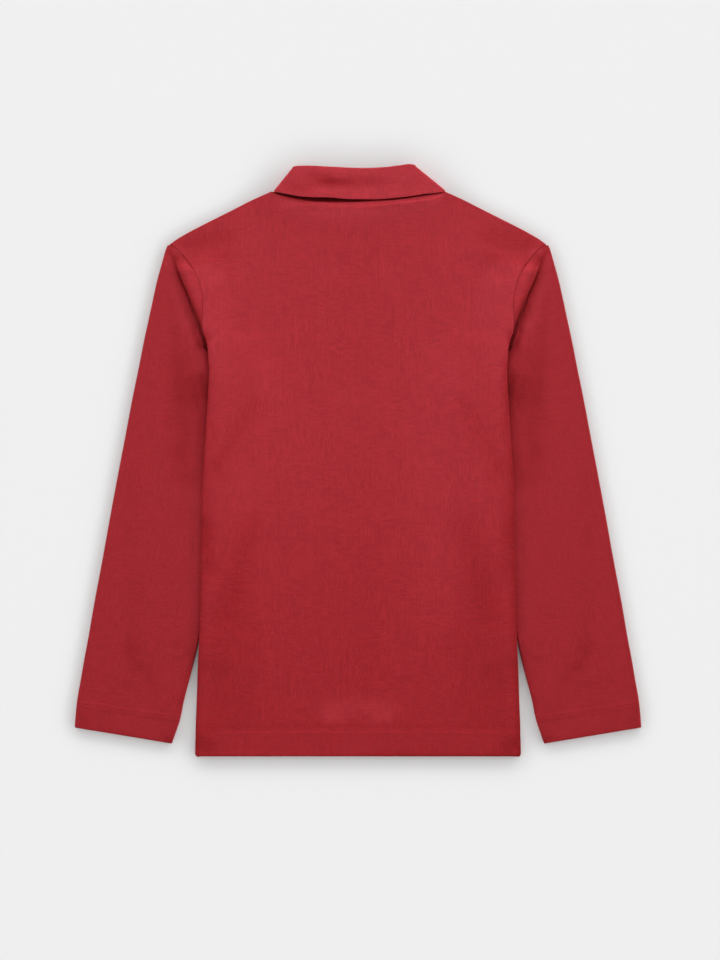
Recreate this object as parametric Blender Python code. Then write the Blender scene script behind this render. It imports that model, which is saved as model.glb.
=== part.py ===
"""Child's long-sleeved top with a turned-down high neck, laid flat with its back up.

Five pieces of knit cloth: back, front, two sleeves and the neck band. Each is one
closed wall. X runs to the right of the back, Y towards the neck, Z up from the floor.
Sizes in the tables are millimetres.
"""

import math
from typing import NamedTuple

import bmesh
import bpy
import numpy as np

METRES = 0.001

# Cloth
WALL = 1.2  # one layer
HEM_WALL = 1.8  # one layer and its pressed turn-up
BAND_WALL = 1.6  # neck band, folded double
SEAM_GAP = 0.3  # between two pieces that are sewn together
SPACE = 1.0  # between the front and back panels
SLEEVE_SPACE = 0.9  # between the two layers of a sleeve

# Heights of the middle of a layer
NECK_RISE = 1.9  # both panels at the neckline, above where they lie flat
NECK_BUMP = 0.6  # the back panel rises by this much more
TUCK_LIFT = 3.7  # body panels where they lie on a sleeve
BACK_REACH = 36.0  # the back panel comes down from there over this much more width
FOLD_TURN = 0.9  # radius of the sleeve's pleat, to the middle of the wall
STRIP_RAISE = 0.4  # neckline allowance below the collar
NECK_DIP = 0.9  # back panel's edge where it joins the collar
FRONT_NECK_DROP = 12.0  # front neckline below the back one, at the centre

# Places along the garment
ARMPIT = 97.1
ARMPIT_TOP = 109.9  # above this the rows of the body bend towards the shoulders
BODY_TIP = 180.4  # last height along the armhole before the shoulder's own rows
NECK_HALF = 73.4  # half the neckline, between the shoulders' inner ends
NECK_COVER = 0.5  # the collar's lower edge hides this much of the neckline seam
NECK_REACH = 34.0  # the panels rise towards the neckline over this length

# Neck band
BAND_CENTRE = 3.9  # height halfway between front and back
STAND_HALF = 1.1  # from there to the standing layer
BAND_TURN = 1.0  # radius of the fold at its top, to the middle of the band
FALL_FLARE = 1.2  # lower edge of the turned-down layer stands out by this much more
TROUGH = 0.5  # soft hollow along the turned-down layer
BAND_STATIONS = (0.0, 0.06, 0.2, 0.35, 0.5, 0.65, 0.8, 0.93, 1.0)  # shares of its width

# Colour and finish of each piece
BODY_RED = (0.39, 0.026, 0.038)
SLEEVE_RED = (0.35, 0.022, 0.032)
COLLAR_RED = (0.43, 0.032, 0.045)
ROUGH = 0.9

BACK, FRONT = 1, -1
LEFT, RIGHT = -1, 1


class Edge(NamedTuple):
    """One point of an outline that is the same on both sides."""

    along: float
    half_width: float


class Level(NamedTuple):
    """One point of a line that runs across the top."""

    across: float
    along: float


class SleeveRow(NamedTuple):
    """One section across the sleeve, from its outer fold to its inner edge."""

    outer_along: float
    inner_along: float
    wall: float


class PleatRow(NamedTuple):
    """How the sleeve folds over itself beside the armhole."""

    along: float
    fold_edge: float
    turn: float
    turned_back: float


class SlopeRow(NamedTuple):
    """Where the body comes down from the sleeve that lies under it."""

    along: float
    top: float
    foot: float


SLEEVE_OUTER = (
    Edge(-226.7, 240.5), Edge(-220.8, 240.1), Edge(-203.8, 238.4), Edge(-186.8, 235.4),
    Edge(-169.8, 232.5), Edge(-152.8, 229.1), Edge(-118.8, 223.1), Edge(-84.8, 216.8),
    Edge(-50.8, 210.8), Edge(-16.8, 204.4), Edge(17.2, 198.0), Edge(51.2, 191.7),
    Edge(85.2, 184.9), Edge(102.2, 181.5), Edge(119.2, 177.7), Edge(136.2, 173.8),
    Edge(153.2, 170.0), Edge(161.7, 167.7), Edge(170.2, 165.3), Edge(177.0, 163.4),
    Edge(180.4, 162.4), Edge(183.0, 161.2),
)  # fmt: skip

SLEEVE_INNER = (
    Edge(-240.3, 158.5), Edge(-230.1, 155.0), Edge(-220.8, 151.8), Edge(-203.8, 148.3),
    Edge(-186.8, 143.7), Edge(-170.6, 139.4), Edge(-157.9, 136.4), Edge(-135.8, 132.6),
    Edge(-110.3, 130.0), Edge(-84.8, 127.5), Edge(-50.8, 125.0), Edge(-27.8, 122.8),
    Edge(0.2, 115.6), Edge(17.2, 110.5), Edge(40.2, 101.1), Edge(59.7, 101.1),
    Edge(76.7, 108.8), Edge(86.9, 119.0), Edge(97.1, 128.6),
)  # fmt: skip

BODY_EDGE = (
    Edge(-251.4, 138.1), Edge(-237.8, 137.7), Edge(-220.8, 137.3), Edge(-203.8, 136.6),
    Edge(-182.5, 136.2), Edge(-157.9, 135.7), Edge(-132.4, 135.0), Edge(-108.6, 134.3),
    Edge(-78.8, 134.0), Edge(-49.9, 133.5), Edge(-20.2, 132.6), Edge(9.6, 130.9),
    Edge(29.1, 129.5), Edge(48.7, 128.1), Edge(64.0, 127.0), Edge(77.6, 127.1),
    Edge(86.9, 127.4), Edge(97.1, 128.1), Edge(103.9, 130.0), Edge(109.9, 132.0),
    Edge(115.8, 132.4), Edge(122.6, 132.1), Edge(132.8, 131.8), Edge(139.6, 132.3),
    Edge(146.4, 134.0), Edge(153.2, 136.6), Edge(161.7, 140.3), Edge(167.7, 144.5),
    Edge(172.8, 149.1), Edge(177.0, 153.4), Edge(180.4, 157.2), Edge(183.3, 160.0),
)  # fmt: skip

SHOULDER = (
    Level(73.4, 228.4), Level(80.8, 225.3), Level(90.1, 221.2), Level(98.6, 217.0),
    Level(107.1, 212.7), Level(124.1, 204.2), Level(141.1, 195.5), Level(148.3, 191.5),
    Level(155.5, 187.0), Level(160.0, 183.5),
)  # fmt: skip

COLLAR_TOP = (
    Level(-54.6, 249.6), Level(-49.3, 250.4), Level(-42.9, 250.6), Level(-25.5, 249.9),
    Level(6.0, 248.8), Level(22.1, 249.3), Level(35.7, 250.6), Level(44.0, 251.4),
    Level(50.2, 249.8),
)  # fmt: skip

COLLAR_LOWER = (
    Level(-72.2, 228.6), Level(-62.9, 226.5), Level(-52.7, 224.6), Level(-36.5, 223.4),
    Level(-23.8, 223.0), Level(-4.7, 222.2), Level(16.6, 222.2), Level(37.8, 224.2),
    Level(59.1, 227.2), Level(74.5, 228.9),
)  # fmt: skip

ALLOWANCE_TOP = (
    Level(-73.4, 227.4), Level(-57.8, 222.9), Level(-47.2, 220.7), Level(-33.1, 219.6),
    Level(-10.2, 219.3), Level(11.0, 220.1), Level(37.8, 222.2), Level(59.1, 225.8),
    Level(73.4, 227.6),
)  # fmt: skip

ALLOWANCE_FOOT = (
    Level(-73.4, 224.9), Level(-57.8, 219.1), Level(-47.2, 217.0), Level(-25.9, 215.3),
    Level(-4.7, 214.8), Level(16.6, 215.9), Level(37.8, 218.7), Level(59.1, 221.7),
    Level(73.4, 225.2),
)  # fmt: skip

SLOPE = (
    SlopeRow(-251.4, 125.8, 80.8), SlopeRow(-203.8, 125.8, 80.8),
    SlopeRow(-182.5, 127.5, 85.0), SlopeRow(-159.6, 132.0, 95.2),
    SlopeRow(-135.8, 130.3, 100.3), SlopeRow(-110.3, 127.7, 102.0),
    SlopeRow(-84.8, 125.2, 100.3), SlopeRow(-50.8, 122.6, 98.6),
    SlopeRow(-27.8, 120.5, 96.9), SlopeRow(0.2, 113.3, 90.1),
    SlopeRow(17.2, 108.0, 85.0), SlopeRow(40.2, 98.4, 75.5),
    SlopeRow(59.7, 98.4, 74.8), SlopeRow(76.7, 105.8, 81.6),
    SlopeRow(86.9, 115.8, 88.4), SlopeRow(97.1, 123.6, 93.5),
    SlopeRow(109.9, 123.6, 95.2), SlopeRow(136.2, 119.0, 90.1),
    SlopeRow(161.7, 120.7, 83.3), SlopeRow(183.3, 136.0, 73.4),
)  # fmt: skip

# How far up its full lift the body is, along the side
LIFT_ALONG = ((-183.5, 0.0), (-176.0, 0.25), (-167.5, 0.75), (-160.5, 1.0), (97.1, 1.0),
              (103.9, 0.6), (109.9, 0.0))  # fmt: skip

# How far the side is turned from flat (0) to a rolled edge (1), along the side
ROLL_ALONG = ((97.1, 1.0), (103.9, 0.5), (109.9, 0.0))

PLEATS = (
    PleatRow(97.1, 128.9, 0.0, 0.5), PleatRow(103.9, 131.6, 60.0, 0.6),
    PleatRow(109.9, 133.9, 115.0, 0.8), PleatRow(115.8, 136.2, 165.0, 1.2),
    PleatRow(122.6, 138.7, 180.0, 1.8), PleatRow(132.8, 141.8, 180.0, 2.8),
    PleatRow(143.0, 145.6, 180.0, 3.6), PleatRow(153.2, 150.2, 180.0, 3.6),
    PleatRow(161.7, 153.2, 170.0, 2.6), PleatRow(167.7, 155.3, 150.0, 1.4),
    PleatRow(172.8, 156.9, 100.0, 0.8), PleatRow(177.0, 158.6, 40.0, 0.4),
    PleatRow(180.4, 160.0, 0.0, 0.0),
)  # fmt: skip

SLEEVE_ROWS = (
    SleeveRow(-226.7, -240.3, HEM_WALL), SleeveRow(-211.0, -224.0, HEM_WALL),
    SleeveRow(-206.5, -219.2, HEM_WALL), SleeveRow(-202.5, -215.0, WALL),
    SleeveRow(-186.8, -198.5, WALL), SleeveRow(-169.8, -179.5, WALL),
    SleeveRow(-152.8, -160.0, WALL), SleeveRow(-127.3, -132.0, WALL),
    SleeveRow(-97.5, -101.0, WALL), SleeveRow(-63.5, -66.0, WALL),
    SleeveRow(-33.8, -35.5, WALL), SleeveRow(-4.0, -5.0, WALL),
    SleeveRow(21.5, 21.0, WALL), SleeveRow(42.7, 42.7, WALL),
    SleeveRow(59.7, 59.7, WALL), SleeveRow(75.0, 75.0, WALL),
    SleeveRow(86.9, 86.9, WALL), SleeveRow(97.1, 97.1, WALL),
    SleeveRow(103.9, 103.9, WALL), SleeveRow(109.9, 109.9, WALL),
    SleeveRow(115.8, 115.8, WALL), SleeveRow(122.6, 122.6, WALL),
    SleeveRow(132.8, 132.8, WALL), SleeveRow(143.0, 143.0, WALL),
    SleeveRow(153.2, 153.2, WALL), SleeveRow(161.7, 161.7, WALL),
    SleeveRow(167.7, 167.7, WALL), SleeveRow(172.8, 172.8, WALL),
    SleeveRow(177.0, 177.0, WALL), SleeveRow(180.4, 180.4, WALL),
)  # fmt: skip

# Rows of both body panels: height along the side, wall
BODY_ROWS = (
    (-251.4, HEM_WALL), (-240.0, HEM_WALL), (-229.0, HEM_WALL), (-225.5, WALL),
    (-203.8, WALL), (-183.5, WALL), (-176.0, WALL), (-167.5, WALL), (-160.5, WALL),
    (-135.8, WALL), (-101.8, WALL), (-59.3, WALL), (-25.0, WALL), (0.2, WALL),
    (21.0, WALL), (40.2, WALL), (59.7, WALL), (76.7, WALL), (86.9, WALL), (97.1, WALL),
    (103.9, WALL), (109.9, WALL), (115.8, WALL), (122.6, WALL), (132.8, WALL),
    (143.0, WALL), (153.2, WALL), (161.7, WALL), (167.7, WALL), (172.8, WALL),
    (177.0, WALL),
)  # fmt: skip


def between(table, at):
    """The second column of a table where its first column equals at."""
    rows = sorted((row[0], row[1]) for row in table)
    return np.interp(at, [row[0] for row in rows], [row[1] for row in rows])


def soft(share):
    """An even step from 0 to 1."""
    held = np.clip(share, 0.0, 1.0)
    return held * held * (3.0 - 2.0 * held)


# Making one closed wall from a grid of points


def grid_faces(rows, columns, ring):
    """Corner numbers of a grid's squares. A ring joins its last column to its first."""
    faces = []
    for row in range(rows - 1):
        for column in range(columns if ring else columns - 1):
            here, after = row * columns + column, row * columns + (column + 1) % columns
            faces.append((here, after, after + columns, here + columns))
    return faces


def rim_faces(rows, columns, ring):
    """Squares that join the two sides of a wall along its free edges."""
    first = list(range(columns))
    last = [(rows - 1) * columns + column for column in first]
    lines = [first, last]
    if ring:
        lines = [line + line[:1] for line in lines]
    else:
        lines.append([row * columns for row in range(rows)])
        lines.append([row * columns + columns - 1 for row in range(rows)])
    start = rows * columns
    return [(a, b, b + start, a + start) for line in lines for a, b in zip(line, line[1:])]


def dye(name, colour):
    """A plain cloth material."""
    material = bpy.data.materials.new(name)
    material.use_nodes = True
    shader = material.node_tree.nodes["Principled BSDF"]
    shader.inputs["Base Color"].default_value = (*colour, 1.0)
    shader.inputs["Roughness"].default_value = ROUGH
    return material


def wall_body(name, middle, normal, wall, material, ring=False):
    """One closed body: half the wall to each side of a grid of middle points."""
    rows, columns = middle.shape[:2]
    half = normal * wall[..., None] / 2.0
    points = np.concatenate([(middle + half).reshape(-1, 3), (middle - half).reshape(-1, 3)])
    squares = grid_faces(rows, columns, ring)
    start = rows * columns
    faces = squares + [tuple(corner + start for corner in face[::-1]) for face in squares]
    faces += rim_faces(rows, columns, ring)
    mesh = bpy.data.meshes.new(name)
    mesh.from_pydata((points * METRES).tolist(), [], faces)
    built = bmesh.new()
    built.from_mesh(mesh)
    bmesh.ops.recalc_face_normals(built, faces=built.faces)
    built.to_mesh(mesh)
    built.free()
    mesh.shade_smooth()
    mesh.materials.append(material)
    body = bpy.data.objects.new(name, mesh)
    bpy.context.scene.collection.objects.link(body)
    return body


# Heights of the layers


def sleeve_levels(wall):
    """Heights of the sleeve's lower and upper layer."""
    return wall / 2.0, wall * 1.5 + SLEEVE_SPACE


def cap_height(along):
    """Height of the sleeve's pleated upper layer beside the armhole."""
    turn = math.radians(between([(row.along, row.turn) for row in PLEATS], along))
    length = float(between([(row.along, row.turned_back) for row in PLEATS], along))
    upper = sleeve_levels(WALL)[1]
    return upper + 2.0 * FOLD_TURN * (1.0 - math.cos(turn)) + length * math.sin(turn)


def armhole_height(along):
    """Height of the back panel's edge along the armhole."""
    side = TUCK_LIFT + WALL * 1.5 + SPACE
    share = float(soft((along - ARMPIT_TOP) / 8.0))
    return side + (cap_height(along) - side) * share


def slope_at(edge_along):
    """Half widths between which the body comes down off the sleeve that lies under it."""
    top = between([(row.along, row.top) for row in SLOPE], edge_along)
    foot = between([(row.along, row.foot) for row in SLOPE], edge_along)
    return float(top), float(foot)


def front_drop(across):
    """How far the front neckline hangs below the back one."""
    return FRONT_NECK_DROP * max(0.0, 1.0 - (across / NECK_HALF) ** 2)


def neck_line(across):
    """Seam between the back panel and the collar: under the collar's edge, but not at its ends."""
    cover = NECK_COVER - 1.1 * float(soft((abs(across) - 52.0) / 12.0))
    return float(between(COLLAR_LOWER, across)) + cover


def near_neck(across, along, drop):
    """1 beside the neckline, falling to 0 away from it."""
    beside = max(0.0, abs(across) - NECK_HALF)
    below = max(0.0, neck_line(across) - drop - along)
    return float(soft(1.0 - math.hypot(beside, below) / NECK_REACH))


def panel_height(face, across, along, edge_along, wall):
    """Height of the middle of a panel, before its edges are rolled."""
    top, foot = slope_at(edge_along)
    reach = top - foot if face == FRONT else top - foot + BACK_REACH
    raised = TUCK_LIFT * float(between(LIFT_ALONG, edge_along))
    raised *= float(soft((abs(across) - top + reach) / reach))
    if face == FRONT:
        return wall / 2.0 + raised + NECK_RISE * near_neck(across, along, front_drop(across))
    near = near_neck(across, along, 0.0)
    height = wall * 1.5 + SPACE + raised + (NECK_RISE + NECK_BUMP) * near
    if edge_along > ARMPIT:
        edge = float(between(BODY_EDGE, edge_along))
        share = float(soft((abs(across) - foot) / (edge - foot))) * (1.0 - near)
        share *= float(soft((edge_along - ARMPIT) / (ARMPIT_TOP - ARMPIT)))
        height += (armhole_height(edge_along) - height) * share
    return height


# Body panels


def side_columns(edge_along, wall):
    """Half width, drop and tilt of a row's points from the centre to the side edge."""
    top, foot = slope_at(edge_along)
    roll = float(between(ROLL_ALONG, edge_along))
    angle = max(roll, 0.01) * math.pi / 2.0
    edge = float(between(BODY_EDGE, edge_along)) - wall / 2.0 * math.sin(angle)
    radius = (wall + SPACE - SEAM_GAP) / 2.0
    columns = [(foot * share, 0.0, 0.0) for share in (0.0, 0.25, 0.5, 0.75)]
    columns += [(foot + (top - foot) * share, 0.0, 0.0) for share in (0.0, 0.35, 0.65, 1.0)]
    for step in (0.0, 0.5, 1.0):
        tilt = angle * step
        inset = radius * (1.0 - math.sin(tilt) / math.sin(angle)) + 3.0 * (1.0 - roll) * (1.0 - step)
        drop = radius * (1.0 - math.cos(tilt)) / math.sin(angle) if roll else 0.0
        columns.append((edge - inset, drop, tilt if roll else 0.0))
    return columns


def full_row(columns):
    """The row's points from the left edge to the right edge."""
    left = [(-half, drop, -tilt) for half, drop, tilt in columns[:0:-1]]
    return left + columns


def base_along(across, face):
    """Where the last evenly spaced row runs, below the shoulder and the neckline."""
    half = abs(across)
    if half >= NECK_HALF - 0.01:
        depth = np.interp(half, (140.0, SHOULDER[-1].across), (8.0, SHOULDER[-1].along - BODY_TIP))
        return float(between(SHOULDER, half)) - float(depth)
    drop = front_drop(across) if face == FRONT else 0.0
    return float(between(ALLOWANCE_FOOT, across)) - 1.2 - drop


def even_rows(face):
    """Rows from the hem to just below the shoulders."""
    top_row = full_row(side_columns(SHOULDER[-1].along, WALL))
    rows = []
    for edge_along, wall in BODY_ROWS:
        share = max(0.0, (edge_along - ARMPIT_TOP) / (BODY_TIP - ARMPIT_TOP))
        row = []
        for column, (across, drop, tilt) in enumerate(full_row(side_columns(edge_along, wall))):
            reach = base_along(top_row[column][0], face) - ARMPIT_TOP
            along = ARMPIT_TOP + share * reach if share else edge_along
            height = panel_height(face, across, along, edge_along, wall) - face * drop
            normal = (math.sin(tilt), 0.0, math.cos(tilt) * face)
            row.append(((across, along, height), normal, wall))
        rows.append(row)
    return rows


def shoulder_rows(face):
    """Rows along the shoulders, rolled over, and along the neckline's turned allowance."""
    radius = (WALL + SPACE - SEAM_GAP) / 2.0
    lean = math.atan2(1.0, 2.0)
    base = full_row(side_columns(BODY_TIP, WALL))
    top = full_row(side_columns(SHOULDER[-1].along, WALL))
    rows = []
    for step, (tilt, neck_tilt) in enumerate(((0.0, 0.0), (0.0, 0.0), (45.0, 20.0), (90.0, 35.0))):
        tilt, neck_tilt = math.radians(tilt), math.radians(neck_tilt)
        row = []
        for (base_across, _, _), (across, _, _) in zip(base, top):
            if abs(across) >= NECK_HALF - 0.01:
                edge = float(between(SHOULDER, abs(across))) - WALL / 2.0 / math.cos(lean)
                length = edge - base_along(across, face)
                left = (0.5 * length, min(radius, 0.6 * length), 0.29 * radius, 0.0)[step]
                share = 1.0 - left / length
                along = edge - left
                across = base_across + (across - base_across) * share
                drop = radius * (1.0 - math.cos(tilt))
                side = math.copysign(math.sin(lean), across) * math.sin(tilt)
                normal = (side, math.cos(lean) * math.sin(tilt), math.cos(tilt) * face)
            else:
                lower = float(between(ALLOWANCE_TOP, across))
                seam = neck_line(across)
                foot = float(between(ALLOWANCE_FOOT, across))
                along = (foot, lower, 0.4 * lower + 0.6 * seam, seam)[step]
                along -= front_drop(across) if face == FRONT else 0.0
                drop = (-STRIP_RAISE, -STRIP_RAISE, 0.4 * NECK_DIP, NECK_DIP)[step]
                normal = (0.0, math.sin(neck_tilt), math.cos(neck_tilt) * face)
                if face == FRONT:
                    drop, normal = 0.0, (0.0, 0.0, -1.0)
            height = panel_height(face, across, along, BODY_TIP, WALL) - face * drop
            row.append(((across, along, height), normal, WALL))
        rows.append(row)
    return rows


def body_panel(name, face, material):
    """The back or the front, one wall from side to side and from hem to shoulders."""
    rows = even_rows(face) + shoulder_rows(face)
    middle = np.array([[point for point, _, _ in row] for row in rows])
    normal = np.array([[way for _, way, _ in row] for row in rows])
    wall = np.array([[thick for _, _, thick in row] for row in rows])
    return wall_body(name, middle, normal, wall, material)


# Sleeves


def under_layer(width, wall, roll):
    """Section points and normals of the lower layer, from its inner edge outwards."""
    lower, upper = sleeve_levels(wall)
    radius = (upper - lower - SEAM_GAP) / 2.0
    angle = max(roll, 0.01) * math.pi / 2.0
    width -= wall / 2.0 * math.sin(angle)
    points = []
    for step in (1.0, 0.5, 0.0):
        tilt = angle * step
        inset = radius * (1.0 - math.sin(tilt) / math.sin(angle)) + 0.8 * (1.0 - roll) * (1.0 - step)
        rise = radius * (1.0 - math.cos(tilt)) / math.sin(angle)
        points.append((width - inset, lower + rise, math.sin(tilt), -math.cos(tilt)))
    start, end = points[-1][0], upper / 2.0
    points.append((start + (end - start) * 0.5, lower, 0.0, -1.0))
    return points


def outer_fold(wall):
    """Section points and normals round the sleeve's outer edge, from below to above."""
    lower, upper = sleeve_levels(wall)
    radius, centre = (upper - lower) / 2.0, (upper + lower) / 2.0
    points = []
    for degrees in (0.0, 60.0, 120.0, 180.0):
        turn = math.radians(degrees)
        side, up = -math.sin(turn), -math.cos(turn)
        points.append((radius + wall / 2.0 + radius * side, centre + radius * up, side, up))
    return points


def pleat_path(turn, length, spread):
    """The doubling back of the cloth: turned up and back by turn, then forward again."""
    points = []
    for share in (0.0, 0.333, 0.667, 1.0):
        heading = turn * share
        points.append((FOLD_TURN * math.sin(heading), FOLD_TURN * (1.0 - math.cos(heading)), heading))
    across = points[-1][0] + length * math.cos(turn)
    height = points[-1][1] + length * math.sin(turn)
    for share in (0.0, 0.333, 0.667, 1.0):
        heading = turn * (1.0 - share)
        points.append(
            (across + FOLD_TURN * (math.sin(turn) - math.sin(heading)),
             height + FOLD_TURN * (math.cos(heading) - math.cos(turn)), heading)
        )  # fmt: skip
    last = len(points) - 1
    return [(s + spread * n / last, z, heading) for n, (s, z, heading) in enumerate(points)]


def pleat_at(along, width):
    """The pleat's section points at one row, placed from the outer edge inwards."""
    turn = math.radians(between([(row.along, row.turn) for row in PLEATS], along))
    length = float(between([(row.along, row.turned_back) for row in PLEATS], along))
    fold_edge = float(between([(row.along, row.fold_edge) for row in PLEATS], along))
    outer = float(between(SLEEVE_OUTER, along))
    spread = min(8.0, 0.3 * width) * (1.0 - turn / math.pi)
    path = pleat_path(turn, length + 0.3, spread)
    if along < ARMPIT:
        start = width * 0.6
    else:
        nearest = min(s for s, _, _ in path[4:])
        start = outer - fold_edge + WALL / 2.0 - nearest
        start = min(start, width - 1.4 - path[-1][0])
    return [(start + s, z, heading) for s, z, heading in path]


def upper_layer(along, width, wall, roll):
    """Section points and normals of the upper layer, from the outer fold inwards."""
    lower, upper = sleeve_levels(wall)
    path = pleat_at(along, width)
    start = upper / 2.0
    points = []
    for share in (0.33, 0.67):
        points.append((start + (path[0][0] - start) * share, upper, 0.0, 1.0))
    for s, z, heading in path:
        points.append((s, upper + z, -math.sin(heading), math.cos(heading)))
    height = points[-1][1]
    radius = (upper - lower - SEAM_GAP) / 2.0
    angle = max(roll, 0.01) * math.pi / 2.0
    width -= wall / 2.0 * math.sin(angle)
    end = []
    for step in (0.0, 0.5, 1.0):
        tilt = angle * step
        inset = radius * (1.0 - math.sin(tilt) / math.sin(angle)) + 0.3 * (1.0 - roll) * (1.0 - step)
        drop = radius * (1.0 - math.cos(tilt)) / math.sin(angle)
        end.append((width - inset, height - drop, math.sin(tilt), math.cos(tilt)))
    points.append(((points[-1][0] + end[0][0]) / 2.0, height, 0.0, 1.0))
    return points + end


def sleeve(name, side, material):
    """A sleeve: one wall folded flat, open along the seam under the arm and at both ends."""
    middle, normal, wall = [], [], []
    for row in SLEEVE_ROWS:
        outer = np.array((float(between(SLEEVE_OUTER, row.outer_along)), row.outer_along))
        if row.inner_along <= ARMPIT:
            inner_half = float(between(SLEEVE_INNER, row.inner_along))
        else:
            inner_half = float(between(BODY_EDGE, row.inner_along)) + SEAM_GAP + 0.1
        inner = np.array((inner_half, row.inner_along))
        width = float(np.linalg.norm(inner - outer))
        way = (inner - outer) / width
        roll = float(between(ROLL_ALONG, row.inner_along))
        section = under_layer(width, row.wall, roll) + outer_fold(row.wall)
        section += upper_layer(row.inner_along, width, row.wall, roll)
        points = [(*(outer + way * s), z) for s, z, _, _ in section]
        middle.append([(side * x, y, z) for x, y, z in points])
        normal.append([(side * way[0] * a, way[1] * a, up) for _, _, a, up in section])
        wall.append([row.wall] * len(section))
    return wall_body(name, np.array(middle), np.array(normal), np.array(wall), material)


# Neck band


def band_levels():
    """Rows of the band from its seam up to the fold and down to its lower edge.

    Each has its share of the way up, its distance from the middle of the neck, its
    height over the fold's start, whether it is turned down, and how far it stands out.
    """
    rows = [(0.0, STAND_HALF, 0.0, False, 0.0), (0.5, STAND_HALF, 0.0, False, 0.0)]
    for degrees in (0.0, 45.0, 90.0, 135.0, 180.0):
        angle = math.radians(degrees)
        half = STAND_HALF + BAND_TURN * (1.0 - math.cos(angle))
        rows.append((1.0, half, BAND_TURN * math.sin(angle), degrees > 90.0, 0.0))
    for share in (0.7, 0.35, 0.0):
        rows.append((share, STAND_HALF + 2.0 * BAND_TURN, 0.0, True, FALL_FLARE * (1.0 - share) ** 2))
    return rows


def band_place(share, half, turned_down, around):
    """Across and along of one place on the band, seen from above."""
    inset = BAND_WALL / 2.0 + half / 2.0
    if turned_down:
        foot = (COLLAR_LOWER[0].across + inset, COLLAR_LOWER[-1].across - inset)
    else:
        foot = (6.2 - NECK_HALF, NECK_HALF - 5.2)
    inside = 1.7 * max(0.0, STAND_HALF + 2.0 * BAND_TURN - half)
    top = (COLLAR_TOP[0].across + inset + inside, COLLAR_TOP[-1].across - inset - inside)
    low = foot[0] + (foot[1] - foot[0]) * around
    high = top[0] + (top[1] - top[0]) * around
    if turned_down:
        low_along = float(between(COLLAR_LOWER, low))
    else:
        low_along = neck_line(low) + SEAM_GAP + 0.4
    high_along = float(between(COLLAR_TOP, high)) - BAND_WALL / 2.0 - BAND_TURN
    return low + (high - low) * share, low_along + (high_along - low_along) * share


def band_row(share, half, rise, turned_down, flare):
    """One ring of middle points: across the back, round the end, across the front."""
    back, front = [], []
    for around in BAND_STATIONS:
        across, along = band_place(share, half, turned_down, around)
        trough = TROUGH * math.exp(-(((share - 0.45) / 0.2) ** 2)) if turned_down else 0.0
        trough *= float(soft(around / 0.2) * soft((0.85 - around) / 0.3))
        height = BAND_CENTRE + half - trough + flare * float(soft(around * 5.0) * soft(5.0 - around * 5.0))
        back.append((across, along + rise, height))
        drop = front_drop(across) if 0.0 < around < 1.0 else 0.0
        front.append((across, along + rise - drop, BAND_CENTRE - half))
    clear = 0.7 * (1.0 - share)
    right_end = (back[-1][0] + half / 2.0, back[-1][1] + clear, BAND_CENTRE)
    left_end = (back[0][0] - half / 2.0, back[0][1] + clear, BAND_CENTRE)
    return [*back, right_end, *front[::-1], left_end]


def collar(name, material):
    """The neck band: a closed ring, folded double and turned down on itself."""
    middle = np.array([band_row(*row) for row in band_levels()])
    wall = np.full(middle.shape[:2], BAND_WALL)
    return wall_body(name, middle, ring_normals(middle), wall, material, ring=True)


def ring_normals(middle):
    """Normals of a ring of points, from the steps to each side."""
    around = np.roll(middle, -1, axis=1) - np.roll(middle, 1, axis=1)
    up = np.gradient(middle, axis=0)
    normal = np.cross(around, up)
    return normal / np.linalg.norm(normal, axis=-1, keepdims=True)


def main():
    for old in list(bpy.data.objects):
        bpy.data.objects.remove(old, do_unlink=True)
    body_red = dye("body_red", BODY_RED)
    sleeve_red = dye("sleeve_red", SLEEVE_RED)
    body_panel("front_panel", FRONT, body_red)
    body_panel("back_panel", BACK, body_red)
    sleeve("sleeve_left", LEFT, sleeve_red)
    sleeve("sleeve_right", RIGHT, sleeve_red)
    collar("collar", dye("collar_red", COLLAR_RED))


main()
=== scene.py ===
"""High neck top of red knit, laid flat with its back up: the cloth, its seams and its stitches.

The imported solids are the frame. Each is replaced by one fine wall of cloth on the same form, with
the folds, hems, stitches and knit that the solids leave out. X runs to the right of the back, Y
towards the neck and Z up from the floor. Sizes are millimetres until a mesh is made.
"""

import logging
import math
from dataclasses import dataclass, field
from enum import Enum

import bpy
import numpy as np
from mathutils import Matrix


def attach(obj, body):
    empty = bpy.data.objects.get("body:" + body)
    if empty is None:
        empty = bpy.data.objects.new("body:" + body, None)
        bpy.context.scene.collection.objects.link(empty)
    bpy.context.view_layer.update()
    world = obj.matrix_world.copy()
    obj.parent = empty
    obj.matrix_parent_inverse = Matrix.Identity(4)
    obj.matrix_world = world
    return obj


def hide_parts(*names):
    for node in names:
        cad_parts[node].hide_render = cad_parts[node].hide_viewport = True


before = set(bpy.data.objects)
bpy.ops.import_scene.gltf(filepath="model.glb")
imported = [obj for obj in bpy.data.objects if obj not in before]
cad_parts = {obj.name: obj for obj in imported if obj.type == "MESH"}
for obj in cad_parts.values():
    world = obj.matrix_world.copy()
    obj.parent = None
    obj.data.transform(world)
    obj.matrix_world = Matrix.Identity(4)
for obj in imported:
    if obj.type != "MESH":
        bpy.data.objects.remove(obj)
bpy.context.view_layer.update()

Array = np.ndarray
METRES = 0.001
ROOT = "root"
CLOTH_MAP = "cloth"
# Name of the mesh attribute that carries the painted light and shade.
PAINTED_LIGHT = "tone"

log = logging.getLogger("high_neck_top")


class Face(Enum):
    """Which body panel."""

    BACK = 1
    FRONT = -1


class Side(Enum):
    """Which sleeve, as seen from above."""

    LEFT = -1
    RIGHT = 1


# Sizes


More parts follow.
